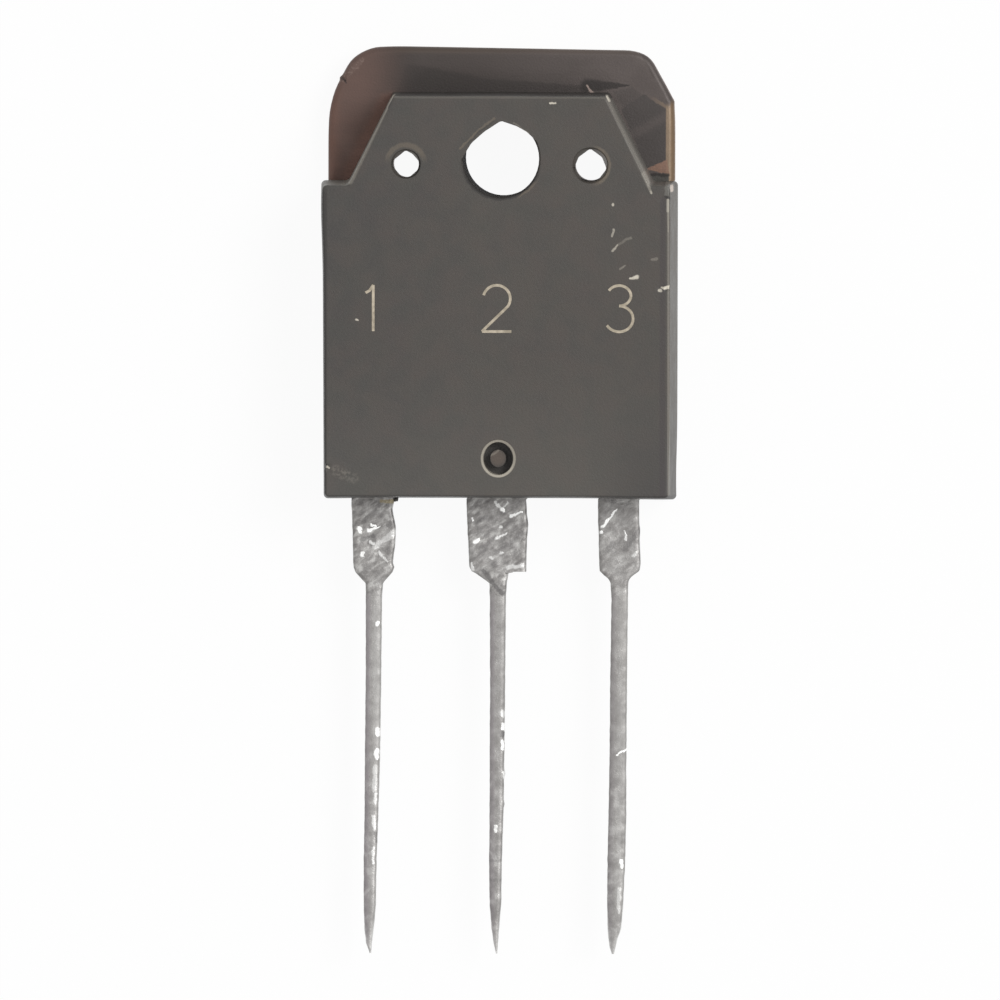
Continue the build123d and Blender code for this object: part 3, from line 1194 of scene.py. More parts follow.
@dataclass(frozen=True)
class CopperFinish:
    """Tarnished copper: brown at one side, mauve at the other, with a bare rolled edge, painted highlights
    along its right edge, and painted shadow and sheen near the moulding's nose.

    Spans are the places in millimetres between which something fades. rolled_edge counts from the
    top of the tab, buried_depth from its front, nose_shadow from the top of the moulding's nose,
    and the others from the origin.
    """

    brown: Colour = linear(92, 72, 65)
    rust: Colour = linear(112, 80, 68)
    # Umber tone of tarnish and streaks, also painted as shade along the chamfer.
    umber: Colour = linear(58, 51, 48)
    # Mauve tone of tarnish, also painted as sheen.
    mauve: Colour = linear(86, 78, 75)
    # Dark tone of painted shadow above and beside the nose, under the sill and in the notch at the left
    # corner.
    dark: Colour = linear(39, 35, 33)
    # Slate tone of the painted shade and light beside the nose's right flank.
    slate: Colour = linear(66, 61, 59)
    # Tan tone of painted highlights on the tab's right edge.
    tan: Colour = linear(132, 114, 95)
    # Bronze tone of a painted highlight on the right edge, also of the top edge's rolled rim.
    bronze: Colour = linear(104, 82, 58)
    salmon: Colour = linear(134, 104, 88)
    grey: Colour = linear(72, 70, 66)
    fresh: Colour = linear(160, 112, 84)
    pale: Colour = linear(190, 170, 160)
    roughness: float = 0.44
    metallic: float = 0.4
    relief: float = 0.004
    mottle_size: float = 1.1
    fine_size: float = 0.1
    streak_size: float = 0.35
    brown_end: Span = (-6.4, -3.8)
    rust_end: Span = (-7.7, -6.9)
    mauve_start: Span = (-3.0, 5.5)
    nose_shadow: Span = (0.05, 1.1)
    middle_left: Span = (-4.9, -3.4)
    middle_right: Span = (2.4, 4.4)
    # Where the painted sheen near the top of the tab fades in.
    upper_band: Span = (3.4, 4.3)
    # Painted shadow above the nose.
    shadow_wedges: tuple[Patch, ...] = (
        Patch(
            ((-4.67, 2.72), (2.0, 2.72), (1.6, 3.05), (-0.48, 3.5), (-2.79, 3.99), (-4.23, 4.16)), 0.35, 0.5
        ),
        Patch(((-1.0, 2.72), (3.94, 2.72), (3.94, 3.17), (-0.48, 3.5), (-1.0, 3.5)), 0.16, 0.5),
    )
    wedge_left: Span = (-5.2, -3.2)
    # Painted shadow from the nose's right corner.
    nose_corner_shadow: Mark = Mark((3.8, 3.18), (5.7, 3.22), 0.34, 0.95, 0.85)
    left_rust: Mark = Mark((-4.95, 2.3), (-6.5, -0.8), 0.6, strength=0.55)
    # Painted shade along the chamfer.
    chamfer_shade: Mark = Mark((6.2, 4.72), (7.62, 2.36), 0.13, strength=0.6)
    lit: Patch = Patch(((4.95, 2.95), (5.4, 2.15), (6.2, 2.78), (5.8, 3.14)), 0.12, 0.45)
    # Painted shadow of the nose's right flank.
    flank_shade: Patch = Patch(((5.3, 2.15), (6.44, -0.52), (7.3, -0.1), (7.3, 2.16), (6.28, 2.84)), 0.06)
    sheen: Patch = Patch(((5.7, 0.7), (7.35, 1.7), (7.35, 2.1), (5.5, 1.1)), 0.3, 0.45)
    crest: Mark = Mark((6.3, 2.88), (7.45, 2.18), 0.1, 0.4, 0.5)
    crest_end: Span = (6.4, 7.3)
    tan_band: Span = (7.26, 7.32)
    tan_top: Span = (2.1, 2.5)
    bronze_band: Span = (7.46, 7.52)
    bronze_top: Span = (2.3, 2.7)
    salmon_corner: Patch = Patch(((6.4, -0.5), (7.46, -0.72), (7.34, -0.06)), 0.05)
    sill_top: Span = (-0.76, -0.7)
    sill_left: Span = (6.2, 6.5)
    sill_right: Span = (7.38, 7.46)
    sill_shadow: Mark = Mark((6.55, -0.73), (7.4, -0.75), 0.06, -0.3, 0.8)
    nick: Mark = Mark((3.78, 3.2), (4.02, 2.86), 0.045, -0.5, 0.55)
    rolled_edge: Span = (-0.34, -0.08)
    rolled_left: Span = (-5.5, -4.0)
    worn: Mark = Mark((-7.1, 3.55), (-6.2, 4.3), 0.25, 0.5)
    # Painted shade in the notch at the tab's left corner.
    notch_shade: Mark = Mark((-7.05, 3.5), (-6.88, 3.28), 0.08, 0.6, 0.7)
    buried_depth: Span = (-0.6, -0.3)

    def material(self, high: np.ndarray, front_z: float, nose_y: float) -> bpy.types.Material:
        """Make the material.

        Args:
            high: Highest corner of the header.
            front_z: Height of the tab's front.
            nose_y: Place of the top of the moulding's nose.

        Returns:
            The material.
        """
        g = Graph("tarnished_copper")
        g.unsettle(size=0.25, reach=0.06)
        mottle = g.grain(self.mottle_size, 3, seed=2)
        fine = g.grain(self.fine_size, 3, seed=4)
        streak = g.grain(self.streak_size, 2, stretch=(6, 1, 1), seed=9)
        colour = self._tarnish(g, mottle, nose_y)
        colour = self._shade_and_sheen(g, colour, mottle)
        colour = self._right_edge(g, colour, fine)
        colour = colour.under(self.pale, self.nick.mask(g))
        rim = (g.y - high[1]).rise(*self.rolled_edge) * g.x.rise(*self.rolled_left)
        colour = colour.under(self.bronze, rim * 0.15)
        colour = colour.under(self.pale, self.worn.mask(g) * (0.04 + 0.16 * fine.rise(0.5, 0.95)))
        # Painted shade in the notch at the left corner.
        colour = colour.under(self.dark, self.notch_shade.mask(g))
        buried = (g.z - front_z).fall(*self.buried_depth)
        colour = colour.under(self.fresh, buried * (0.25 + 0.3 * mottle))
        return g.surface({
            "Base Color": colour.under(self.umber, streak * 0.1),
            "Metallic": self.metallic,
            "Roughness": self.roughness + 0.12 * mottle,
            "Normal": g.relief(fine * 0.6 + streak * 0.4, self.relief),
        })

    def _tarnish(self, g: Graph, mottle: Signal, nose_y: float) -> Tint:
        """Tarnish of the tab, brown to mauve, with a painted sheen near its top and painted shadow above
        the nose and from its right corner.

        Args:
            g: Material that it belongs to.
            mottle: Coarse mottling.
            nose_y: Place of the top of the moulding's nose.

        Returns:
            The colour.
        """
        colour = g.blend(g.x.rise(*self.brown_end), self.brown, self.umber)
        colour = colour.under(self.rust, g.x.fall(*self.rust_end) * (0.35 + 0.3 * mottle))
        colour = colour.under(self.mauve, g.x.rise(*self.mauve_start) * (0.7 + 0.3 * mottle))
        middle = g.x.rise(*self.middle_left) * g.x.fall(*self.middle_right)
        # Painted sheen along the upper middle of the tab.
        colour = colour.under(self.mauve, g.y.rise(*self.upper_band) * middle * 0.25)
        # Painted shadow above the nose, as a soft band and two wedges, then from its right corner, and rust
        # at the left.
        colour = colour.under(self.dark, (g.y - nose_y).fall(*self.nose_shadow) * middle * 0.3)
        colour = colour.under(self.dark, together(g, self.shadow_wedges) * g.x.rise(*self.wedge_left))
        return coat(g, colour, (self.dark, self.nose_corner_shadow), (self.rust, self.left_rust))

    def _shade_and_sheen(self, g: Graph, colour: Tint, mottle: Signal) -> Tint:
        """Paint the straight-edged tones at the right of the tab: painted shade along the chamfer and
        beside the nose's right flank, painted light and a painted sheen.

        Args:
            g: Material that they belong to.
            colour: Colour so far.
            mottle: Coarse mottling.

        Returns:
            The new colour.
        """
        # Painted shade along the chamfer and beside the nose's right flank, then a painted sheen.
        colour = coat(g, colour, (self.umber, self.chamfer_shade), (self.slate, self.lit))
        colour = colour.under(self.slate, self.flank_shade.mask(g) * (0.85 + 0.15 * mottle))
        return colour.under(self.mauve, self.sheen.mask(g))

    def _right_edge(self, g: Graph, colour: Tint, fine: Signal) -> Tint:
        """Paint the right edge: painted highlights on its crest and in its tan and bronze bands, the salmon
        corner, and the grey sill with its painted shadow.

        Args:
            g: Material that it belongs to.
            colour: Colour so far.
            fine: Fine grain.

        Returns:
            The new colour.
        """
        # Painted highlights on the crest and in the tan and bronze bands of the right edge.
        colour = colour.under(self.tan, self.crest.mask(g) * g.x.rise(*self.crest_end))
        colour = colour.under(self.tan, g.x.rise(*self.tan_band) * g.y.fall(*self.tan_top))
        bronze = g.x.rise(*self.bronze_band) * g.y.fall(*self.bronze_top)
        colour = colour.under(self.bronze, bronze * 0.85)
        colour = colour.under(self.salmon, self.salmon_corner.mask(g) * (0.7 + 0.3 * fine))
        sill = g.y.fall(*self.sill_top) * g.x.rise(*self.sill_left) * g.x.fall(*self.sill_right)
        colour = colour.under(self.grey, sill)
        return colour.under(self.dark, self.sill_shadow.mask(g))


@dataclass(frozen=True)
class TinFinish:
    """Dull tin plating, scratched and dented, with burnished spots, painted shade along the left edge, and
    painted highlights towards the right and on the side faces.

    Spans are the places in millimetres between which something fades. The bands and the corner
    count from the left edge of the pin, and the others from the origin.
    """

    tin: Colour = linear(162, 160, 158)
    dull: Colour = linear(124, 121, 119)
    # Mauve grey of the painted shade along the left edge of each pin.
    edge: Colour = linear(150, 144, 147)
    dark: Colour = linear(92, 90, 90)
    # Pale tin of mottling, also painted as a highlight towards the right of each pin.
    light: Colour = linear(206, 205, 202)
    stain: Colour = linear(150, 134, 92)
    # Near white of burnished spots, also painted as a highlight on the side faces.
    bright: Colour = linear(250, 250, 248)
    metallic: float = 0.7
    roughness: float = 0.4
    relief: float = 0.014
    cloud_size: float = 0.5
    scratch_size: float = 0.2
    speck_size: float = 0.05
    draw_size: float = 0.1
    pin_start: float = 0.5
    edge_band: Span = (0.12, 0.3)
    right_band: Span = (0.2, 0.5)
    right_corner: Span = (0.5, 0.6)
    flank_foot: Span = (1.72, 1.84)
    flank_top: Span = (1.88, 2.02)
    tip_polish: Span = (-29.0, -26.0)

    def material(self, form: "LeadForm") -> bpy.types.Material:
        """Make the material of one lead.

        Args:
            form: The lead, with its marks.

        Returns:
            The material.
        """
        g = Graph(f"tin_{form.node}")
        g.unsettle(size=0.2, reach=0.08)
        cloud = g.grain(self.cloud_size, 3, seed=form.seed)
        slant = g.grain(self.scratch_size, 4, (1.9, 1, 1), form.seed + 5, form.scratch_turn)
        fine = g.grain(self.speck_size, 2, seed=form.seed + 8)
        along = g.grain(self.draw_size, 2, (1, 9, 1), form.seed + 3)
        colour = g.blend(cloud * 0.5 + slant * 0.35, self.tin, self.dull)
        top, bottom = form.pin_edges()
        lean = (bottom.left - top.left) / (bottom.y - top.y)
        from_edge = g.x - (g.y - top.y) * lean - (form.centre_x + top.left)
        on_pin = g.y.fall(top.y, top.y + self.pin_start)
        on_neck = 1.0 - on_pin
        worn = g.y.rise(*self.tip_polish) * 0.6
        colour = colour.under(self.dark, on_neck * slant.rise(0.45, 1.0) * form.mottle)
        colour = colour.under(self.light, on_neck * slant.fall(0.0, 0.42) * form.mottle)
        # Painted shade along the left edge of the pin, weaker on some leads.
        band = from_edge.fall(*self.edge_band) * on_pin
        colour = colour.under(self.edge, band * (0.5 + 0.5 * along) * form.edge_shade)
        # Painted highlight towards the right side of the pin.
        colour = colour.under(self.light, on_pin * from_edge.rise(*self.right_band) * form.gleam)
        # Painted highlight on the side faces, strongest at the right corner.
        right_corner = from_edge.rise(*self.right_corner) * on_pin
        flank = g.z.rise(*self.flank_foot) * g.z.fall(*self.flank_top)
        colour = colour.under(self.bright, flank * (0.6 + 0.4 * right_corner))
        colour = colour.under(self.dull, on_pin * along * 0.25)
        colour = colour.under(self.dark, on_pin * (0.7 - worn) * cloud.rise(0.5, 0.9) * 0.22)
        colour = colour.under(self.light, on_pin * (0.8 - worn) * cloud.fall(0.1, 0.4) * 0.3)
        shine = together(g, form.bright)
        colour = colour.under(self.dark, together(g, form.dark) * 0.8)
        if form.stains:
            colour = colour.under(self.stain, together(g, form.stains) * 0.6)
        height = slant * (0.3 + 0.7 * on_neck) + fine * 0.3 + cloud * 0.6 + shine * 0.6
        return g.surface({
            "Base Color": colour.under(self.bright, shine),
            "Metallic": self.metallic,
            "Roughness": self.roughness + 0.16 * cloud + 0.16 * right_corner - 0.12 * shine,
            "Normal": g.relief(height, self.relief),
        })


@dataclass(frozen=True)
class PlainFinish:
    """A simple finish with a fine grain, for small and enclosed pieces."""

    name: str
    light: Colour
    dark: Colour
    metallic: float
    roughness: float
    grain_size: float
    relief: float = 0.003

    def material(self) -> bpy.types.Material:
        """Make the material.

        Returns:
            The material.
        """
        g = Graph(self.name)
        fine = g.grain(self.grain_size, 3)
        return g.surface({
            "Base Color": g.blend(fine, self.light, self.dark),
            "Metallic": self.metallic,
            "Roughness": self.roughness - 0.08 + 0.16 * fine,
            "Normal": g.relief(fine, self.relief),
        })


# ---------------------------------------------------------------------------
# Pieces
# ---------------------------------------------------------------------------


def hand_over(made: bpy.types.Object, slot: Slot, material: bpy.types.Material, *nodes: str) -> None:
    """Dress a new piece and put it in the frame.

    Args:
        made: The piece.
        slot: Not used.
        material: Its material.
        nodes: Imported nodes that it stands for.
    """
    made.data.materials.clear()
    made.data.materials.append(material)
    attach(made, "root")
    if nodes:
        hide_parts(*nodes)
    LOG.info("%s: %d faces", made.name, len(made.data.polygons))


@dataclass(frozen=True)
class BodyMarks:
    """Pale marks on the moulding: scuffs of use on its front, edge wear with painted highlight over its
    edges, painted highlights along them, and painted light on its walls.
    """

    front: tuple[Mark, ...] = (
        Mark((2.24, 2.45), (2.47, 2.47), 0.045, 0.3, 0.85),
        Mark((5.02, -2.02), (5.03, -2.01), 0.06, 0.0, 0.7),
        Mark((5.06, -3.1), (4.96, -3.4), 0.05, 0.2, 0.42),
        Mark((4.99, -4.06), (5.22, -3.81), 0.05, 0.2, 0.5),
        Mark((5.22, -3.81), (5.62, -3.53), 0.06, 0.0, 0.1),
        Mark((5.6, -3.54), (5.8, -3.47), 0.06, 0.0, 0.14),
        Mark((5.33, -4.84), (5.56, -4.71), 0.05, 0.3, 0.2),
        Mark((6.78, -4.42), (6.95, -4.4), 0.08, 0.0, 0.16),
        Mark((5.78, -5.28), (6.1, -5.21), 0.05, -0.9, 0.85),
        Mark((7.2, -5.69), (7.59, -5.63), 0.05, -1.3, 1.0),
        Mark((7.09, -5.8), (7.1, -5.8), 0.08, 0.0, 0.7),
        Mark((-6.29, -7.1), (-6.2, -7.15), 0.06, 0.5, 0.85),
        Mark((-7.74, -13.51), (-7.5, -13.64), 0.06, 0.2, 0.8),
    )
    # Edge wear over the nose's flank edges, partly painted highlight.
    edges: tuple[Mark, ...] = (
        Mark((-4.72, 2.84), (-5.0, 2.26), 0.08, 0.5, 0.9),
        Mark((-4.98, 2.2), (-6.6, -1.0), 0.08, -0.9, 0.22),
        Mark((4.72, 2.82), (4.84, 2.56), 0.07, 0.3, 1.0),
        Mark((4.82, 2.6), (6.5, -0.8), 0.12, -0.4, 0.11),
        Mark((6.4, -0.65), (6.7, -1.5), 0.14, 0.7, 0.24),
        Mark((6.68, -1.42), (6.71, -1.5), 0.05, 0.0, 0.5),
    )
    # Painted highlights along the nose's top edge and along the right front edge.
    lines: tuple[Mark, ...] = (
        Mark((-4.6, 2.7), (4.6, 2.7), 0.05, 0.0, 0.05),
        Mark((7.44, -1.8), (7.44, -2.3), 0.06, 0.0, 0.42),
        Mark((7.45, -2.3), (7.46, -3.2), 0.055, 0.2, 0.22),
        Mark((7.46, -3.2), (7.5, -14.8), 0.06, 0.0, 0.12),
    )
    # Painted light on the nose's flank walls and on the left shoulder wall.
    walls: tuple[Mark, ...] = (
        Mark((-4.8, 2.9), (-6.75, -1.15), 0.35, 0.0, 0.95),
        Mark((4.9, 2.9), (6.85, -1.15), 0.35, 0.0, 0.3),
        Mark((-7.8, -1.15), (-6.8, -1.15), 0.3, 0.0, 0.65),
    )


@dataclass
class MouldedBody:
    """The epoxy moulding, with the chips, flash and scuffs of use."""

    node: str = "moulded_body"
    fine: float = 0.14
    coarse: float = 0.5
    buried: float = 1.5
    front_depth: float = 0.3
    back_depth: float = 0.01
    wall_steepness: float = 0.3
    wall_reach: float = 1.0
    wave: float = 0.006
    wave_size: float = 2.6
    side_x: float = 7.0
    left_flare: float = 0.08
    flare_height: float = 14.0
    right_setback: float = 0.025
    right_lean: float = 0.12
    lean_start: float = 1.5
    dish_fill: float = 0.1
    dish_radius: float = 0.7
    dish_rim: float = 0.05
    crumb_radius: float = 0.14
    crumb_place: Place = (-4.64, 1.9)
    crumb_setback: float = 0.02
    crumb_roughness: float = 0.3
    crumb_pitch: float = 1.7
    marks: BodyMarks = BodyMarks()
    chips: tuple[Scoop, ...] = (
        Scoop((-8.1, -13.45, 4.5), (-7.55, -13.68, 4.86), 0.16),
        Scoop((7.35, -5.71, 4.86), (8.0, -5.6, 4.7), 0.12),
        Scoop((7.3, -1.7, 4.88), (7.9, -1.72, 4.7), 0.1),
    )
    webs: tuple[Web, ...] = (
        Web((0.044, 0.03), 1.85, 4.0, (
            (123.0, 1.37), (131.5, 1.357), (148.2, 1.461), (71.5, 1.507),
            (61.0, 1.511), (47.0, 1.558),
        )),
        Web((-4.09, -0.28), 0.7, 1.7, (
            (129.0, 0.538), (63.0, 0.609), (42.0, 0.597), (220.0, 0.577),
            (311.0, 0.622),
        )),
        Web((4.09, -0.28), 0.7, 1.7, (
            (126.0, 0.562), (158.0, 0.575), (54.0, 0.562), (22.0, 0.575),
            (214.0, 0.595), (323.0, 0.618),
        )),
    )
    bores: tuple[Bore, ...] = (
        *HOLE_WEAR,
        Bore((-4.21, -0.28), 0.8, (-0.109, -0.109), (0.084, 0.04), 4.6),
        Bore((3.96, -0.31), 0.8, (-0.062, -0.062), (0.053, 0.022), 4.6),
        Bore(EJECTOR_MARK, 0.8, (-0.04, 0.07), (-0.03, 0.0), 3.9),
    )
    swellings: tuple[Lump, ...] = (
        Lump((-7.9, -2.2, 3.0), (1.0, 1.8, 6.0), (-0.07, 0.0, 0.0)),
        Lump((-7.6, -15.08, 3.0), (1.5, 1.0, 6.0), (0.0, -0.04, 0.0)),
        Lump((7.0, -15.08, 3.0), (1.8, 1.0, 6.0), (0.0, -0.05, 0.0)),
        Lump((7.8, -14.2, 3.0), (1.0, 1.6, 6.0), (-0.05, 0.0, 0.0)),
    )

    def build(self) -> None:
        """Build the worn moulding and the crumb of resin at the foot of one lead."""
        low, high = box_mm(self.node)
        skin = Skin(self.node, lambda centre, normal: self._spacing(centre, normal, high))
        self._settle_front(skin, high)
        for wear in (*self.chips, *self.webs, *self.bores, *self.swellings):
            wear.wear(skin)
        self._bend_walls(skin, low, high)
        finish = EpoxyFinish().material(self.marks, low, high)
        LOG.info("open edges of the moulding: %d", skin.open_edges())
        hand_over(skin.to_object("worn_moulding"), Slot.EPOXY, finish, self.node)
        self._crumb(low[1])

    def _spacing(self, centre: np.ndarray, normal: np.ndarray, high: np.ndarray) -> float:
        """Distance between points on a flat area: fine at the front, coarse on the walls and the back.

        Args:
            centre: Middle of the area.
            normal: Way that it faces.
            high: Highest corner of the moulding.

        Returns:
            The distance.
        """
        if centre[2] > high[2] - self.front_depth:
            return self.fine
        outward = centre * normal
        on_wall = abs(normal[2]) < self.wall_steepness and outward[0] + outward[1] > self.wall_reach
        return self.coarse if on_wall or centre[2] < self.back_depth else self.buried

    def _settle_front(self, skin: Skin, high: np.ndarray) -> None:
        """Make the front slightly uneven, and raise the floors of the two dished holes.

        Args:
            skin: Surface of the moulding.
            high: Highest corner of the moulding.
        """
        front = skin.points[:, 2] > high[2] - self.front_depth
        skin.points[front, 2] += self.wave * (ripple(skin.points[front], self.wave_size, 1.0) - 0.5)
        x, y, z = skin.points.T
        away = np.hypot(np.abs(x) - CLAMP_HOLE[0], y - CLAMP_HOLE[1])
        in_dish = (z > high[2] - self.front_depth) & (z < high[2] - self.dish_rim)
        skin.points[(away < self.dish_radius) & in_dish, 2] += self.dish_fill

    def _bend_walls(self, skin: Skin, low: np.ndarray, high: np.ndarray) -> None:
        """Flare the left wall towards the tab, and set the right wall back, leaning in at the front.

        Args:
            skin: Surface of the moulding.
            low: Lowest corner of the moulding.
            high: Highest corner of the moulding.
        """
        rise = (skin.points[:, 1] - low[1]).clip(0, self.flare_height) / self.flare_height
        skin.points[:, 0] -= self.left_flare * rise * (skin.points[:, 0] < -self.side_x)
        lean = ((skin.points[:, 2] - self.lean_start) / (high[2] - self.lean_start)).clip(0, 1)
        setback = self.right_setback + lean * self.right_lean
        skin.points[:, 0] -= setback * (skin.points[:, 0] > self.side_x)

    def _crumb(self, bottom_y: float) -> None:
        """Build the dark crumb of resin that sticks out beside the left lead.

        Args:
            bottom_y: Place of the moulding's bottom wall.
        """
        x, z = self.crumb_place
        place = Vector((x, bottom_y - self.crumb_setback, z))
        crumb = bmesh.new()
        bmesh.ops.create_icosphere(crumb, subdivisions=3, radius=1.0)
        for vertex in crumb.verts:
            vertex.co *= 1 + self.crumb_roughness * noise.noise(vertex.co * self.crumb_pitch)
            vertex.co = (vertex.co * self.crumb_radius + place) * MM
        mesh = bpy.data.meshes.new("resin_crumb")
        crumb.to_mesh(mesh)
        crumb.free()
        mesh.shade_smooth()
        finish = PlainFinish("charred_resin", linear(48, 43, 38), linear(26, 23, 21), 0.0, 0.6, 0.08)
        hand_over(add_object("resin_crumb", mesh), Slot.EPOXY, finish.material())


@dataclass
class HeatSpreader:
    """The copper header, with its tarnished, dented tab."""

    node: str = "copper_header"
    body_node: str = "moulded_body"
    shoulder_y: float = -1.01
    thickness: float = 1.5
    fine: float = 0.16
    buried: float = 1.2
    front_start: Place = (-0.71, 1.0)
    wave: float = 0.01
    wave_size: float = 2.2
    top_slope: float = -0.016
    slope_power: int = 4
    dents: tuple[Scoop, ...] = (
        Scoop((-7.5, 3.85, 1.9), (-6.98, 3.48, 1.5), 0.14),
        Scoop((-7.5, 3.85, 0.2), (-7.0, 3.5, 1.3), 0.14),
    )
    bumps: tuple[Lump, ...] = (
        Lump((6.3, 4.5, 1.0), (0.6, 0.5, 3), (0.06, 0.04, 0)),
        Lump((-5.9, 4.6, 1.0), (0.9, 0.6, 3), (0.04, -0.07, 0)),
        Lump((-7.6, 2.4, 1.0), (0.8, 0.9, 3), (0.05, 0, 0)),
        Lump((7.6, 2.5, 1.0), (0.8, 0.7, 3), (-0.04, 0, 0)),
    )
    bores: tuple[Bore, ...] = HOLE_WEAR

    def build(self) -> None:
        """Build the worn header."""
        high = box_mm(self.node)[1]
        body_high = box_mm(self.body_node)[1]
        skin = Skin(self.node, self._spacing)
        on_front = (skin.points[:, 1:] > self.front_start).all(axis=1)
        skin.points[on_front, 2] += self.wave * ripple(skin.points[on_front], self.wave_size, 4.0)
        for bump in self.bumps:
            bump.wear(skin)
        near_top = (skin.points[:, 1] / high[1]).clip(0, 1) ** self.slope_power
        skin.points[:, 1] += near_top * self.top_slope * skin.points[:, 0]
        for wear in (*self.dents, *self.bores):
            wear.wear(skin)
        finish = CopperFinish().material(high, self.thickness, body_high[1])
        LOG.info("open edges of the header: %d", skin.open_edges())
        hand_over(skin.to_object("worn_header"), Slot.COPPER, finish, self.node)

    def _spacing(self, centre: np.ndarray, _: np.ndarray) -> float:
        """Distance between points on a flat area of the header."""
        return self.fine if centre[1] > self.shoulder_y else self.buried


class Station(NamedTuple):
    """Left and right edges of a lead at one place, from the middle of the new lead."""

    y: float
    left: float
    right: float


@dataclass(frozen=True)
class LeadForm:
    """Place, worn outline and marks of one lead."""

    node: str
    seed: float
    centre_x: float
    neck_half: float
    stations: tuple[Station, ...]
    pin_top: int
    pin_foot: int = -4
    scratch_turn: float = 35.0
    mottle: float = 0.45
    # Strengths of the painted shade along the left edge and of the painted highlight towards the right.
    edge_shade: float = 1.0
    gleam: float = 0.3
    square_right: bool = False
    dents: tuple[Lump, ...] = ()
    bites: tuple[Scoop, ...] = ()
    bright: tuple[Mark, ...] = ()
    dark: tuple[Mark, ...] = ()
    stains: tuple[Mark, ...] = ()

    def pin_edges(self) -> tuple[Station, Station]:
        """Stations at the top of the pin and near its tip."""
        return self.stations[self.pin_top], self.stations[self.pin_foot]


def bite(x: float, y: float, radius: float, high: float = 2.4, low: float = 1.2) -> Scoop:
    """A nick straight through the edge of a lead."""
    return Scoop((x, y, high), (x, y, low), radius)


def outline(*rows: tuple[float, float, float]) -> tuple[Station, ...]:
    """Stations of a lead from rows of y, left edge and right edge."""
    return tuple(Station(*row) for row in rows)


BASE_LEAD = LeadForm(
    "base_lead", 11.0, -5.45, 0.965,
    stations=outline(
        (-15.13, -1.16, 0.75), (-15.58, -1.14, 0.66), (-16.37, -1.11, 0.82), (-17.17, -1.09, 0.79),
        (-17.97, -1.07, 0.68), (-18.15, -1.06, 0.75), (-18.37, -0.98, 0.67), (-18.86, -0.52, 0.25),
        (-19.61, -0.51, 0.21), (-23.16, -0.51, 0.18), (-26.71, -0.54, 0.13), (-29.2, -0.55, 0.06),
        (-31.15, -0.58, -0.01), (-33.15, -0.58, -0.04), (-34.18, -0.55, -0.13), (-34.84, -0.47, -0.22),
        (-35.3, -0.31, -0.25),
    ),
    pin_top=8,
    dents=(
        Lump((-5.5, -16.5, 2.1), (0.8, 0.7, 0.4), (0, 0, -0.05)),
        Lump((-5.0, -17.3, 2.1), (0.5, 0.4, 0.4), (0, 0, -0.04)),
    ),
    bites=(
        bite(-5.3, -29.35, 0.1),
        bite(-5.37, -30.9, 0.09),
        bite(-5.35, -32.0, 0.07),
    ),
    bright=(
        Mark((-6.26, -16.45), (-6.2, -16.58), 0.111, 0.3, 1.0),
        Mark((-5.86, -16.54), (-5.37, -16.36), 0.076, 0.4, 1.0),
        Mark((-5.7, -16.27), (-5.55, -16.33), 0.068, 0.3, 0.95),
        Mark((-6.12, -17.58), (-6.04, -17.52), 0.102, 0.3, 0.75),
        Mark((-5.77, -17.06), (-5.6, -17.1), 0.076, 0.0, 0.5),
        Mark((-5.55, -17.27), (-4.68, -16.56), 0.111, -0.3, 0.35),
        Mark((-5.37, -17.47), (-4.98, -17.91), 0.076, 0.4, 0.4),
        Mark((-5.42, -20.62), (-5.42, -20.68), 0.08, 0.0, 1.0),
        Mark((-5.41, -25.35), (-5.41, -25.55), 0.096, 0.0, 0.95),
        Mark((-5.46, -26.3), (-5.45, -26.55), 0.12, 0.0, 1.0),
        Mark((-5.5, -28.2), (-5.5, -28.6), 0.08, 0.0, 0.5),
        Mark((-5.6, -29.2), (-5.56, -29.8), 0.096, 0.3, 0.55),
        Mark((-5.6, -30.6), (-5.62, -31.3), 0.08, 0.3, 0.5),
        Mark((-5.5, -27.0), (-5.56, -28.0), 0.112, 0.0, 0.35),
    ),
    dark=(
        Mark((-6.1, -16.9), (-5.6, -16.75), 0.12, 0.3, 0.7),
        Mark((-5.9, -16.0), (-5.5, -15.7), 0.14, 0.0, 0.45),
        Mark((-4.95, -16.3), (-4.7, -16.1), 0.1, 0.0, 0.6),
        Mark((-5.5, -29.95), (-5.45, -30.3), 0.08, 0.0, 0.6),
    ),
    stains=(Mark((-5.25, -15.2), (-4.78, -15.22), 0.09, 0.0, 1.0),),
)

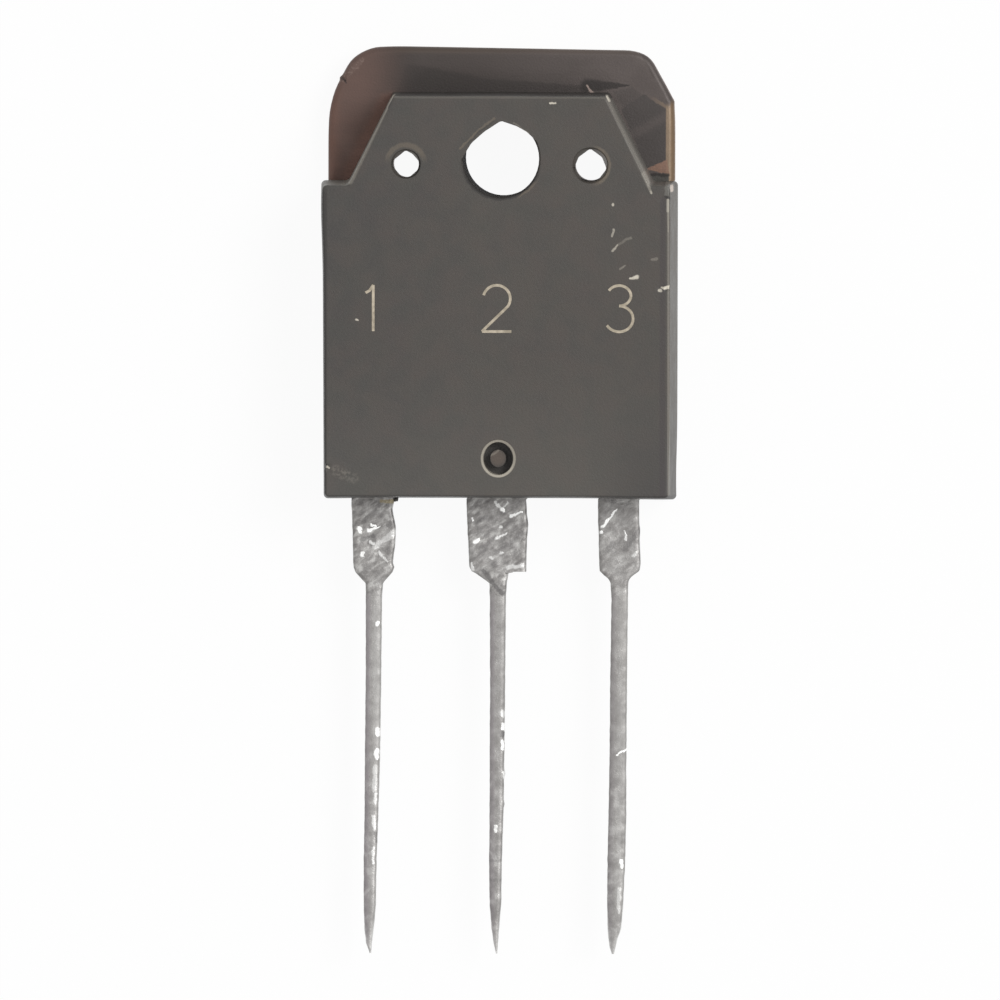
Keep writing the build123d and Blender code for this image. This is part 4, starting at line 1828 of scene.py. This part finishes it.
COLLECTOR_LEAD = LeadForm(
    "collector_lead", 23.0, 0.0, 1.33,
    stations=outline(
        (-15.12, -1.51, 1.14), (-16.18, -1.47, 1.2), (-17.16, -1.42, 1.18), (-18.13, -1.37, 1.15),
        (-18.335, -1.25, 1.16), (-18.36, -1.16, 0.37), (-18.84, -0.48, 0.29), (-19.59, -0.46, 0.25),
        (-23.14, -0.44, 0.23), (-26.69, -0.45, 0.2), (-29.18, -0.45, 0.16), (-31.13, -0.47, 0.1),
        (-33.13, -0.44, 0.07), (-34.15, -0.36, -0.02), (-34.82, -0.26, -0.07), (-35.28, -0.15, -0.1),
    ),
    pin_top=7,
    edge_shade=0.7,
    gleam=0.1,
    square_right=True,
    dents=(
        Lump((0.0, -16.2, 2.1), (0.9, 0.8, 0.4), (0, 0, -0.04)),
        Lump((0.24, -27.3, 1.8), (0.2, 0.15, 2), (0.05, 0, 0)),
        Lump((0.24, -28.65, 1.8), (0.2, 0.12, 2), (0.05, 0, 0)),
        Lump((1.15, -16.3, 1.8), (0.3, 0.3, 2), (0.04, 0, 0)),
    ),
    bites=(
        bite(0.32, -26.75, 0.1),
        bite(0.29, -29.3, 0.08),
    ),
    bright=(
        Mark((-0.23, -15.24), (0.06, -15.55), 0.06, 0.0, 0.55),
        Mark((0.08, -15.55), (0.1, -15.6), 0.085, 0.0, 1.0),
        Mark((0.12, -15.5), (0.34, -15.26), 0.051, 0.3, 0.5),
        Mark((0.48, -15.86), (0.95, -15.67), 0.068, 0.3, 0.95),
        Mark((-1.26, -15.94), (-1.24, -16.1), 0.06, 0.3, 0.8),
        Mark((-1.12, -17.0), (-1.02, -16.94), 0.119, 0.2, 1.0),
        Mark((-0.19, -16.85), (0.3, -16.63), 0.068, 0.4, 0.65),
        Mark((0.0, -16.35), (0.05, -16.34), 0.076, 0.0, 0.6),
        Mark((0.02, -17.48), (0.08, -17.48), 0.068, 0.0, 0.5),
        Mark((-0.45, -17.7), (-0.38, -17.75), 0.068, 0.0, 0.5),
        Mark((0.3, -18.15), (1.0, -18.05), 0.102, 0.0, 0.45),
        Mark((-1.28, -18.0), (-1.2, -18.25), 0.068, 0.2, 0.6),
        Mark((0.12, -24.55), (0.12, -24.7), 0.112, 0.0, 0.4),
        Mark((0.16, -25.1), (0.17, -25.3), 0.088, 0.0, 0.9),
        Mark((0.11, -25.85), (0.13, -26.15), 0.08, 0.0, 1.0),
        Mark((0.18, -27.2), (0.2, -27.5), 0.056, 0.0, 0.6),
        Mark((-0.19, -29.6), (-0.18, -29.85), 0.072, 0.0, 0.7),
    ),
    dark=(
        Mark((-0.76, -18.3), (0.1, -19.3), 0.12, 0.2, 0.85),
        Mark((-1.1, -16.2), (-0.6, -15.9), 0.1, 0.0, 0.5),
        Mark((0.5, -17.0), (0.95, -16.6), 0.12, 0.0, 0.5),
        Mark((-0.7, -17.3), (-0.4, -16.9), 0.12, 0.0, 0.45),
        Mark((0.13, -25.5), (0.13, -25.6), 0.1, 0.0, 0.8),
        Mark((-0.45, -31.16), (0.05, -31.16), 0.07, 0.0, 0.3),
        Mark((-0.45, -32.0), (0.05, -32.0), 0.07, 0.0, 0.3),
    ),
)

EMITTER_LEAD = LeadForm(
    "emitter_lead", 37.0, 5.45, 0.965,
    stations=outline(
        (-15.1, -1.13, 0.69), (-16.16, -1.12, 0.71), (-16.47, -1.1, 0.75), (-16.96, -1.09, 0.72),
        (-17.94, -1.07, 0.77), (-18.29, -1.05, 0.72), (-18.48, -0.85, 0.44), (-18.59, -0.7, 0.32),
        (-18.7, -0.62, 0.25), (-18.82, -0.56, 0.22), (-19.58, -0.52, 0.21), (-23.13, -0.57, 0.18),
        (-26.68, -0.59, 0.16), (-29.16, -0.63, 0.16), (-31.11, -0.67, 0.12), (-33.11, -0.68, 0.03),
        (-34.13, -0.66, -0.04), (-34.58, -0.63, -0.21), (-34.98, -0.56, -0.3), (-35.35, -0.44, -0.38),
    ),
    pin_top=10,
    mottle=0.22,
    edge_shade=0.4,
    gleam=0.2,
    dents=(Lump((5.3, -16.6, 2.1), (0.7, 0.8, 0.4), (0, 0, -0.04)),),
    bites=(
        bite(5.66, -32.69, 0.1),
        bite(5.52, -34.3, 0.12),
        bite(5.6, -33.4, 0.08),
    ),
    bright=(
        Mark((4.53, -16.33), (5.15, -15.56), 0.06, 0.3, 0.9),
        Mark((4.48, -16.55), (4.5, -16.6), 0.076, 0.0, 1.0),
        Mark((5.51, -16.52), (5.59, -16.93), 0.051, 0.0, 0.6),
        Mark((5.9, -17.6), (6.0, -17.5), 0.085, 0.0, 0.35),
        Mark((5.22, -26.42), (5.6, -26.2), 0.04, 0.0, 1.0),
        Mark((5.4, -31.15), (5.42, -31.4), 0.088, 0.0, 1.0),
        Mark((5.3, -32.4), (5.28, -33.4), 0.096, 0.3, 0.3),
    ),
    dark=(
        Mark((5.5, -17.33), (6.21, -16.43), 0.12, 0.0, 0.6),
        Mark((4.7, -17.4), (5.0, -17.1), 0.14, 0.0, 0.4),
        Mark((4.6, -15.8), (4.9, -15.4), 0.1, 0.0, 0.35),
    ),
)


@dataclass
class LeadFrame:
    """The three tinned leads, each bent, dented and scratched in its own way."""

    forms: tuple[LeadForm, ...] = (BASE_LEAD, COLLECTOR_LEAD, EMITTER_LEAD)
    body_node: str = "moulded_body"
    fine: float = 0.08
    buried: float = 0.8
    root_depth: float = 1.0
    neck_length: float = 3.25
    neck_taper: float = 0.55
    pin_half: float = 0.39
    tip_half: float = 0.1
    tip_length: float = 2.5
    thickness: float = 0.6
    middle_z: float = 1.8
    tip_thinning: float = 0.5
    corner_radius: float = 0.16
    roundest: float = 0.8
    root_fade: float = 0.08
    seam: float = 0.001
    edge_noise: float = 0.014
    side_wave: float = 0.3
    side_stretch: Point = (1, 1, 0.3)
    flat_wave: float = 0.5
    flat_seed: float = 9.0
    crease: float = 50.0

    def build(self) -> None:
        """Build the three leads."""
        bottom_y = float(box_mm(self.body_node)[0][1])
        fine_up_to = bottom_y + self.root_depth
        for form in self.forms:
            skin = Skin(form.node, lambda centre, _: self.fine if centre[1] < fine_up_to else self.buried)
            self._shape(skin, form, bottom_y)
            LOG.info("open edges of %s: %d", form.node, skin.open_edges())
            made = skin.to_object(f"worn_{form.node}", self.crease)
            hand_over(made, Slot.TIN, TinFinish().material(form), form.node)

    def _shape(self, skin: Skin, form: LeadForm, bottom_y: float) -> None:
        """Round, bend and dent the part of a lead below the moulding.

        Args:
            skin: Surface of the lead.
            form: Worn outline of the lead.
            bottom_y: Place of the moulding's bottom wall.
        """
        x = skin.points[:, 0] - form.centre_x
        y = skin.points[:, 1]
        z = skin.points[:, 2] - self.middle_z
        tip_y = float(y.min())
        point = ((tip_y + self.tip_length - y) / self.tip_length).clip(0, 1)
        half_z = self.thickness / 2 * (1 - self.tip_thinning * point)
        stations = sorted(form.stations)
        at = [station.y for station in stations]
        left = np.interp(y, at, [station.left for station in stations])
        right = np.interp(y, at, [station.right for station in stations])
        half = (right - left) / 2
        worn_x = x / self._new_half(form, x, y, tip_y, bottom_y) * half
        radius = np.minimum(self.corner_radius, self.roundest * np.minimum(half, half_z))
        inner_x = np.sign(worn_x) * np.minimum(np.abs(worn_x), half - radius)
        inner_z = np.sign(z) * np.minimum(np.abs(z), half_z - radius)
        out_x, out_z = worn_x - inner_x, z - inner_z
        length = np.hypot(out_x, out_z)
        pull = np.where(length > radius, radius / np.maximum(length, TINY), 1.0)
        worn_x = (left + right) / 2 + inner_x + out_x * pull
        worn_z = inner_z + out_z * pull
        fade = ((bottom_y + self.root_fade - y) / self.root_fade).clip(0, 1)
        worn = np.column_stack((worn_x + form.centre_x, y, worn_z + self.middle_z))
        skin.points += fade[:, None] * (worn - skin.points)
        for wear in (*form.dents, *form.bites):
            wear.wear(skin)
        shake = self.edge_noise * fade
        skin.points[:, 0] += shake * ripple(skin.points * self.side_stretch, self.side_wave, form.seed)
        skin.points[:, 2] += shake * ripple(skin.points, self.flat_wave, form.seed + self.flat_seed)

    def _new_half(
        self,
        form: LeadForm,
        x: np.ndarray,
        y: np.ndarray,
        tip_y: float,
        bottom_y: float,
    ) -> np.ndarray:
        """Half width of the new lead at each point.

        Args:
            form: Worn outline of the lead.
            x: Places of the points from the middle of the lead.
            y: Places of the points along the lead.
            tip_y: Place of the lead's tip.
            bottom_y: Place of the moulding's bottom wall.

        Returns:
            One half width for each point.
        """
        taper_y = bottom_y - self.neck_length
        places = [tip_y, tip_y + self.tip_length, taper_y - self.neck_taper, taper_y, bottom_y]
        widths = [self.tip_half, self.pin_half, self.pin_half, form.neck_half, form.neck_half]
        half = np.interp(y, places, widths)
        if form.square_right:
            slim = np.interp(y, places[:2], widths[:2])
            half = np.where((x > 0) & (y < taper_y - self.seam), slim, half)
        return half


@dataclass
class PinNumbers:
    """Plain numbers 1 to 3 above the leads, in thin pale ink."""

    body_node: str = "moulded_body"
    pitch: float = 5.45
    middle: Place = (-0.1, -6.6)
    height: float = 2.04
    width: float = 1.3
    line_width: float = 0.12
    arc_points: int = 20
    thickness: float = 0.01
    layer_step: float = 0.003
    ink: Colour = linear(196, 184, 164)
    worn_ink: Colour = linear(150, 140, 122)

    def build(self) -> None:
        """Build the three numbers as one piece."""
        front_z = float(box_mm(self.body_node)[1][2])
        points: list[Point] = []
        faces: list[tuple[int, ...]] = []
        for number, routes in enumerate((self._one(), self._two(), self._three())):
            middle_x = self.middle[0] + (number - 1) * self.pitch
            for layer, route in enumerate(routes):
                placed = [(middle_x + x, self.middle[1] + y) for x, y in route]
                self._ribbon(placed, front_z + self.layer_step * layer, points, faces)
        mesh = bpy.data.meshes.new("pin_numbers")
        mesh.from_pydata([tuple(value * MM for value in point) for point in points], [], faces)
        mesh.validate()
        finish = PlainFinish("marking_ink", self.ink, self.worn_ink, 0.0, 0.6, 0.25)
        hand_over(add_object("pin_numbers", mesh), Slot.EPOXY, finish.material())

    def _arc(self, centre: Place, radii: Place, start: float, end: float) -> list[Place]:
        """Points of an elliptical arc, with angles in degrees."""
        angles = np.radians(np.linspace(start, end, self.arc_points))
        return [(centre[0] + radii[0] * math.cos(a), centre[1] + radii[1] * math.sin(a)) for a in angles]

    def _one(self) -> list[list[Place]]:
        """Lines of the number 1: a flag and a stem."""
        half = self.height / 2
        return [[(-0.34, half * 0.66), (-0.16, half * 0.76), (0, half)], [(0, half), (0, -half)]]

    def _two(self) -> list[list[Place]]:
        """Draw the number 2.

        Returns:
            An arc that runs on into a slanting line, and a foot.
        """
        half, wide = self.height / 2, self.width / 2
        top = self._arc((0, half * 0.42), (wide * 0.92, half * 0.58), 165, -35)
        return [[*top, (-wide, -half)], [(-wide, -half), (wide, -half)]]

    def _three(self) -> list[list[Place]]:
        """Draw the number 3.

        Returns:
            Two arcs that meet in the middle.
        """
        half, wide = self.height / 2, self.width / 2
        top = self._arc((-0.05, half * 0.56), (wide * 0.8, half * 0.44), 150, -90)
        bottom = self._arc((-0.05, -half * 0.44), (wide * 0.95, half * 0.56), 90, -150)
        return [top, bottom]

    def _ribbon(self, route: list[Place], level: float, points: list[Point], faces: list) -> None:
        """Add a thin closed ribbon along a route.

        Args:
            route: Points of its middle line.
            level: Height of the surface that it lies on.
            points: Points of the mesh, which grow.
            faces: Faces of the mesh, which grow.
        """
        start = len(points)
        line = np.array(route)
        steps = np.diff(line, axis=0)
        steps /= np.linalg.norm(steps, axis=1)[:, None]
        ways = np.vstack([steps[:1], steps[:-1] + steps[1:], steps[-1:]])
        ways /= np.linalg.norm(ways, axis=1)[:, None]
        for (x, y), (dx, dy) in zip(line, ways):
            for side, z in ((1, -1), (-1, -1), (-1, 1), (1, 1)):
                shift = side * self.line_width / 2
                points.append((x - dy * shift, y + dx * shift, level + z * self.thickness))
        for ring in range(len(line) - 1):
            base = start + 4 * ring
            for corner in range(4):
                after = (corner + 1) % 4
                faces.append((base + corner, base + 4 + corner, base + 4 + after, base + after))
        last = start + 4 * (len(line) - 1)
        faces.append((start, start + 1, start + 2, start + 3))
        faces.append((last + 3, last + 2, last + 1, last))


@dataclass
class ChipAssembly:
    """Chip, solder and bond wires, which the moulding encloses."""

    silicon: PlainFinish = PlainFinish(
        "silicon_chip", linear(96, 100, 112), linear(70, 74, 86),
        metallic=0.5, roughness=0.25, grain_size=0.4
    )
    solder: PlainFinish = PlainFinish(
        "soft_solder", linear(150, 150, 150), linear(110, 110, 112),
        metallic=0.8, roughness=0.45, grain_size=0.2
    )
    wire: PlainFinish = PlainFinish(
        "drawn_wire", linear(205, 205, 205), linear(170, 170, 172),
        metallic=0.9, roughness=0.3, grain_size=0.1
    )

    def dress(self) -> None:
        """Give each enclosed node its finish."""
        finishes = {"silicon_die": self.silicon.material(), "die_solder": self.solder.material()}
        wire = self.wire.material()
        for name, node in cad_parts.items():
            material = wire if "wire" in name else finishes.get(name)
            if material is not None:
                node.data.materials.clear()
                node.data.materials.append(material)
                LOG.info("%s dressed", name)


# ---------------------------------------------------------------------------
# Studio
# ---------------------------------------------------------------------------


@dataclass
class Studio:
    """Pale floor, soft light and a camera that looks down on the part."""

    azimuth: float = 1.6
    elevation: float = 2.0
    roll: float = 0.12
    distance: float = 700.0
    millimetres_across: float = 44.12
    aim: Point = (0.063, -15.055, 4.8)
    sensor: float = 36.0
    near_clip: float = 0.01
    floor_half: float = 2.0
    floor_gap: float = 0.01
    floor_glow: float = 0.94
    floor_paper: Colour = (0.86, 0.86, 0.86)
    ambient: float = 0.56
    key_level: float = 0.5
    key_size: float = 0.5
    key_place: Point = (0.55, 0.25, 0.75)

    def build(self) -> None:
        """Build the whole studio."""
        self._floor()
        self._world()
        self._lamp()
        self._camera()
        bpy.context.scene.view_settings.view_transform = "Standard"

    def _floor(self) -> None:
        """Lay the floor just below the part."""
        half, level = self.floor_half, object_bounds()[0].z - self.floor_gap * MM
        square = [(-half, -half, level), (half, -half, level), (half, half, level), (-half, half, level)]
        mesh = bpy.data.meshes.new("floor")
        mesh.from_pydata(square, [], [(0, 1, 2, 3)])
        floor = add_object("floor", mesh)
        g = Graph("floor_paper")
        paper = g.node("ShaderNodeBsdfDiffuse", {}, {"Color": self.floor_paper})
        glow = g.node("ShaderNodeEmission", {}, {"Color": WHITE, "Strength": 1.0})
        shares = {0: g.seen_directly() * self.floor_glow, 1: paper.outputs[0], 2: glow.outputs[0]}
        both = g.node("ShaderNodeMixShader", {}, shares)
        g.node("ShaderNodeOutputMaterial", {}, {"Surface": both.outputs[0]})
        mesh.materials.append(g.material)
        floor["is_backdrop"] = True

    def _world(self) -> None:
        """Light the part from all round, and show white to the camera and to gloss."""
        world = bpy.data.worlds.new("studio_air")
        bpy.context.scene.world = world
        g = Tree(world)
        soft = g.node("ShaderNodeBackground", {}, {"Color": WHITE, "Strength": self.ambient})
        full = g.node("ShaderNodeBackground", {}, {"Color": WHITE, "Strength": 1.0})
        shares = {0: g.seen_directly(), 1: soft.outputs[0], 2: full.outputs[0]}
        both = g.node("ShaderNodeMixShader", {}, shares)
        g.node("ShaderNodeOutputWorld", {}, {"Surface": both.outputs[0]})

    def _lamp(self) -> None:
        """Hang one soft lamp at the upper right."""
        lamp = bpy.data.lights.new("key", "AREA")
        lamp.shape = "DISK"
        lamp.size = self.key_size
        place = Vector(self.key_place)
        reach = place.length
        # Power that gives a level surface at the origin the key level.
        lamp.energy = self.key_level * (math.pi * reach) ** 2 * reach / place.z
        key = add_object("key", lamp)
        key.location = place
        key.rotation_euler = (-place).to_track_quat("-Z", "Y").to_euler()

    def _camera(self) -> None:
        """Look down on the part, a little from the right and from above its top."""
        data = bpy.data.cameras.new("camera")
        data.sensor_width = self.sensor
        data.lens = self.sensor * self.distance / self.millimetres_across
        data.clip_start = self.near_clip
        azimuth, elevation = math.radians(self.azimuth), math.radians(self.elevation)
        level = math.cos(elevation)
        view = Vector((math.sin(azimuth) * level, math.sin(elevation), math.cos(azimuth) * level))
        right = Vector((math.cos(azimuth), 0, -math.sin(azimuth)))
        turn = Matrix.Rotation(math.radians(self.roll), 3, view)
        axes = Matrix((turn @ right, turn @ view.cross(right), view)).transposed().to_4x4()
        camera = add_object("camera", data)
        camera.matrix_world = Matrix.Translation((Vector(self.aim) + view * self.distance) * MM) @ axes
        bpy.context.scene.camera = camera


def corners(bounds: tuple[Vector, Vector]) -> list[list[float]]:
    """Two corners of a box as plain lists."""
    return [[float(value) for value in corner] for corner in bounds]


def main() -> None:
    """Build every piece of the transistor and its studio."""
    logging.basicConfig(level=logging.INFO, format="%(name)s %(message)s")
    packed = corners(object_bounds())
    MouldedBody().build()
    HeatSpreader().build()
    LeadFrame().build()
    PinNumbers().build()
    ChipAssembly().dress()
    Studio().build()
    {"cad": packed, "visual": corners(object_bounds())}


if __name__ == "__main__":
    main()
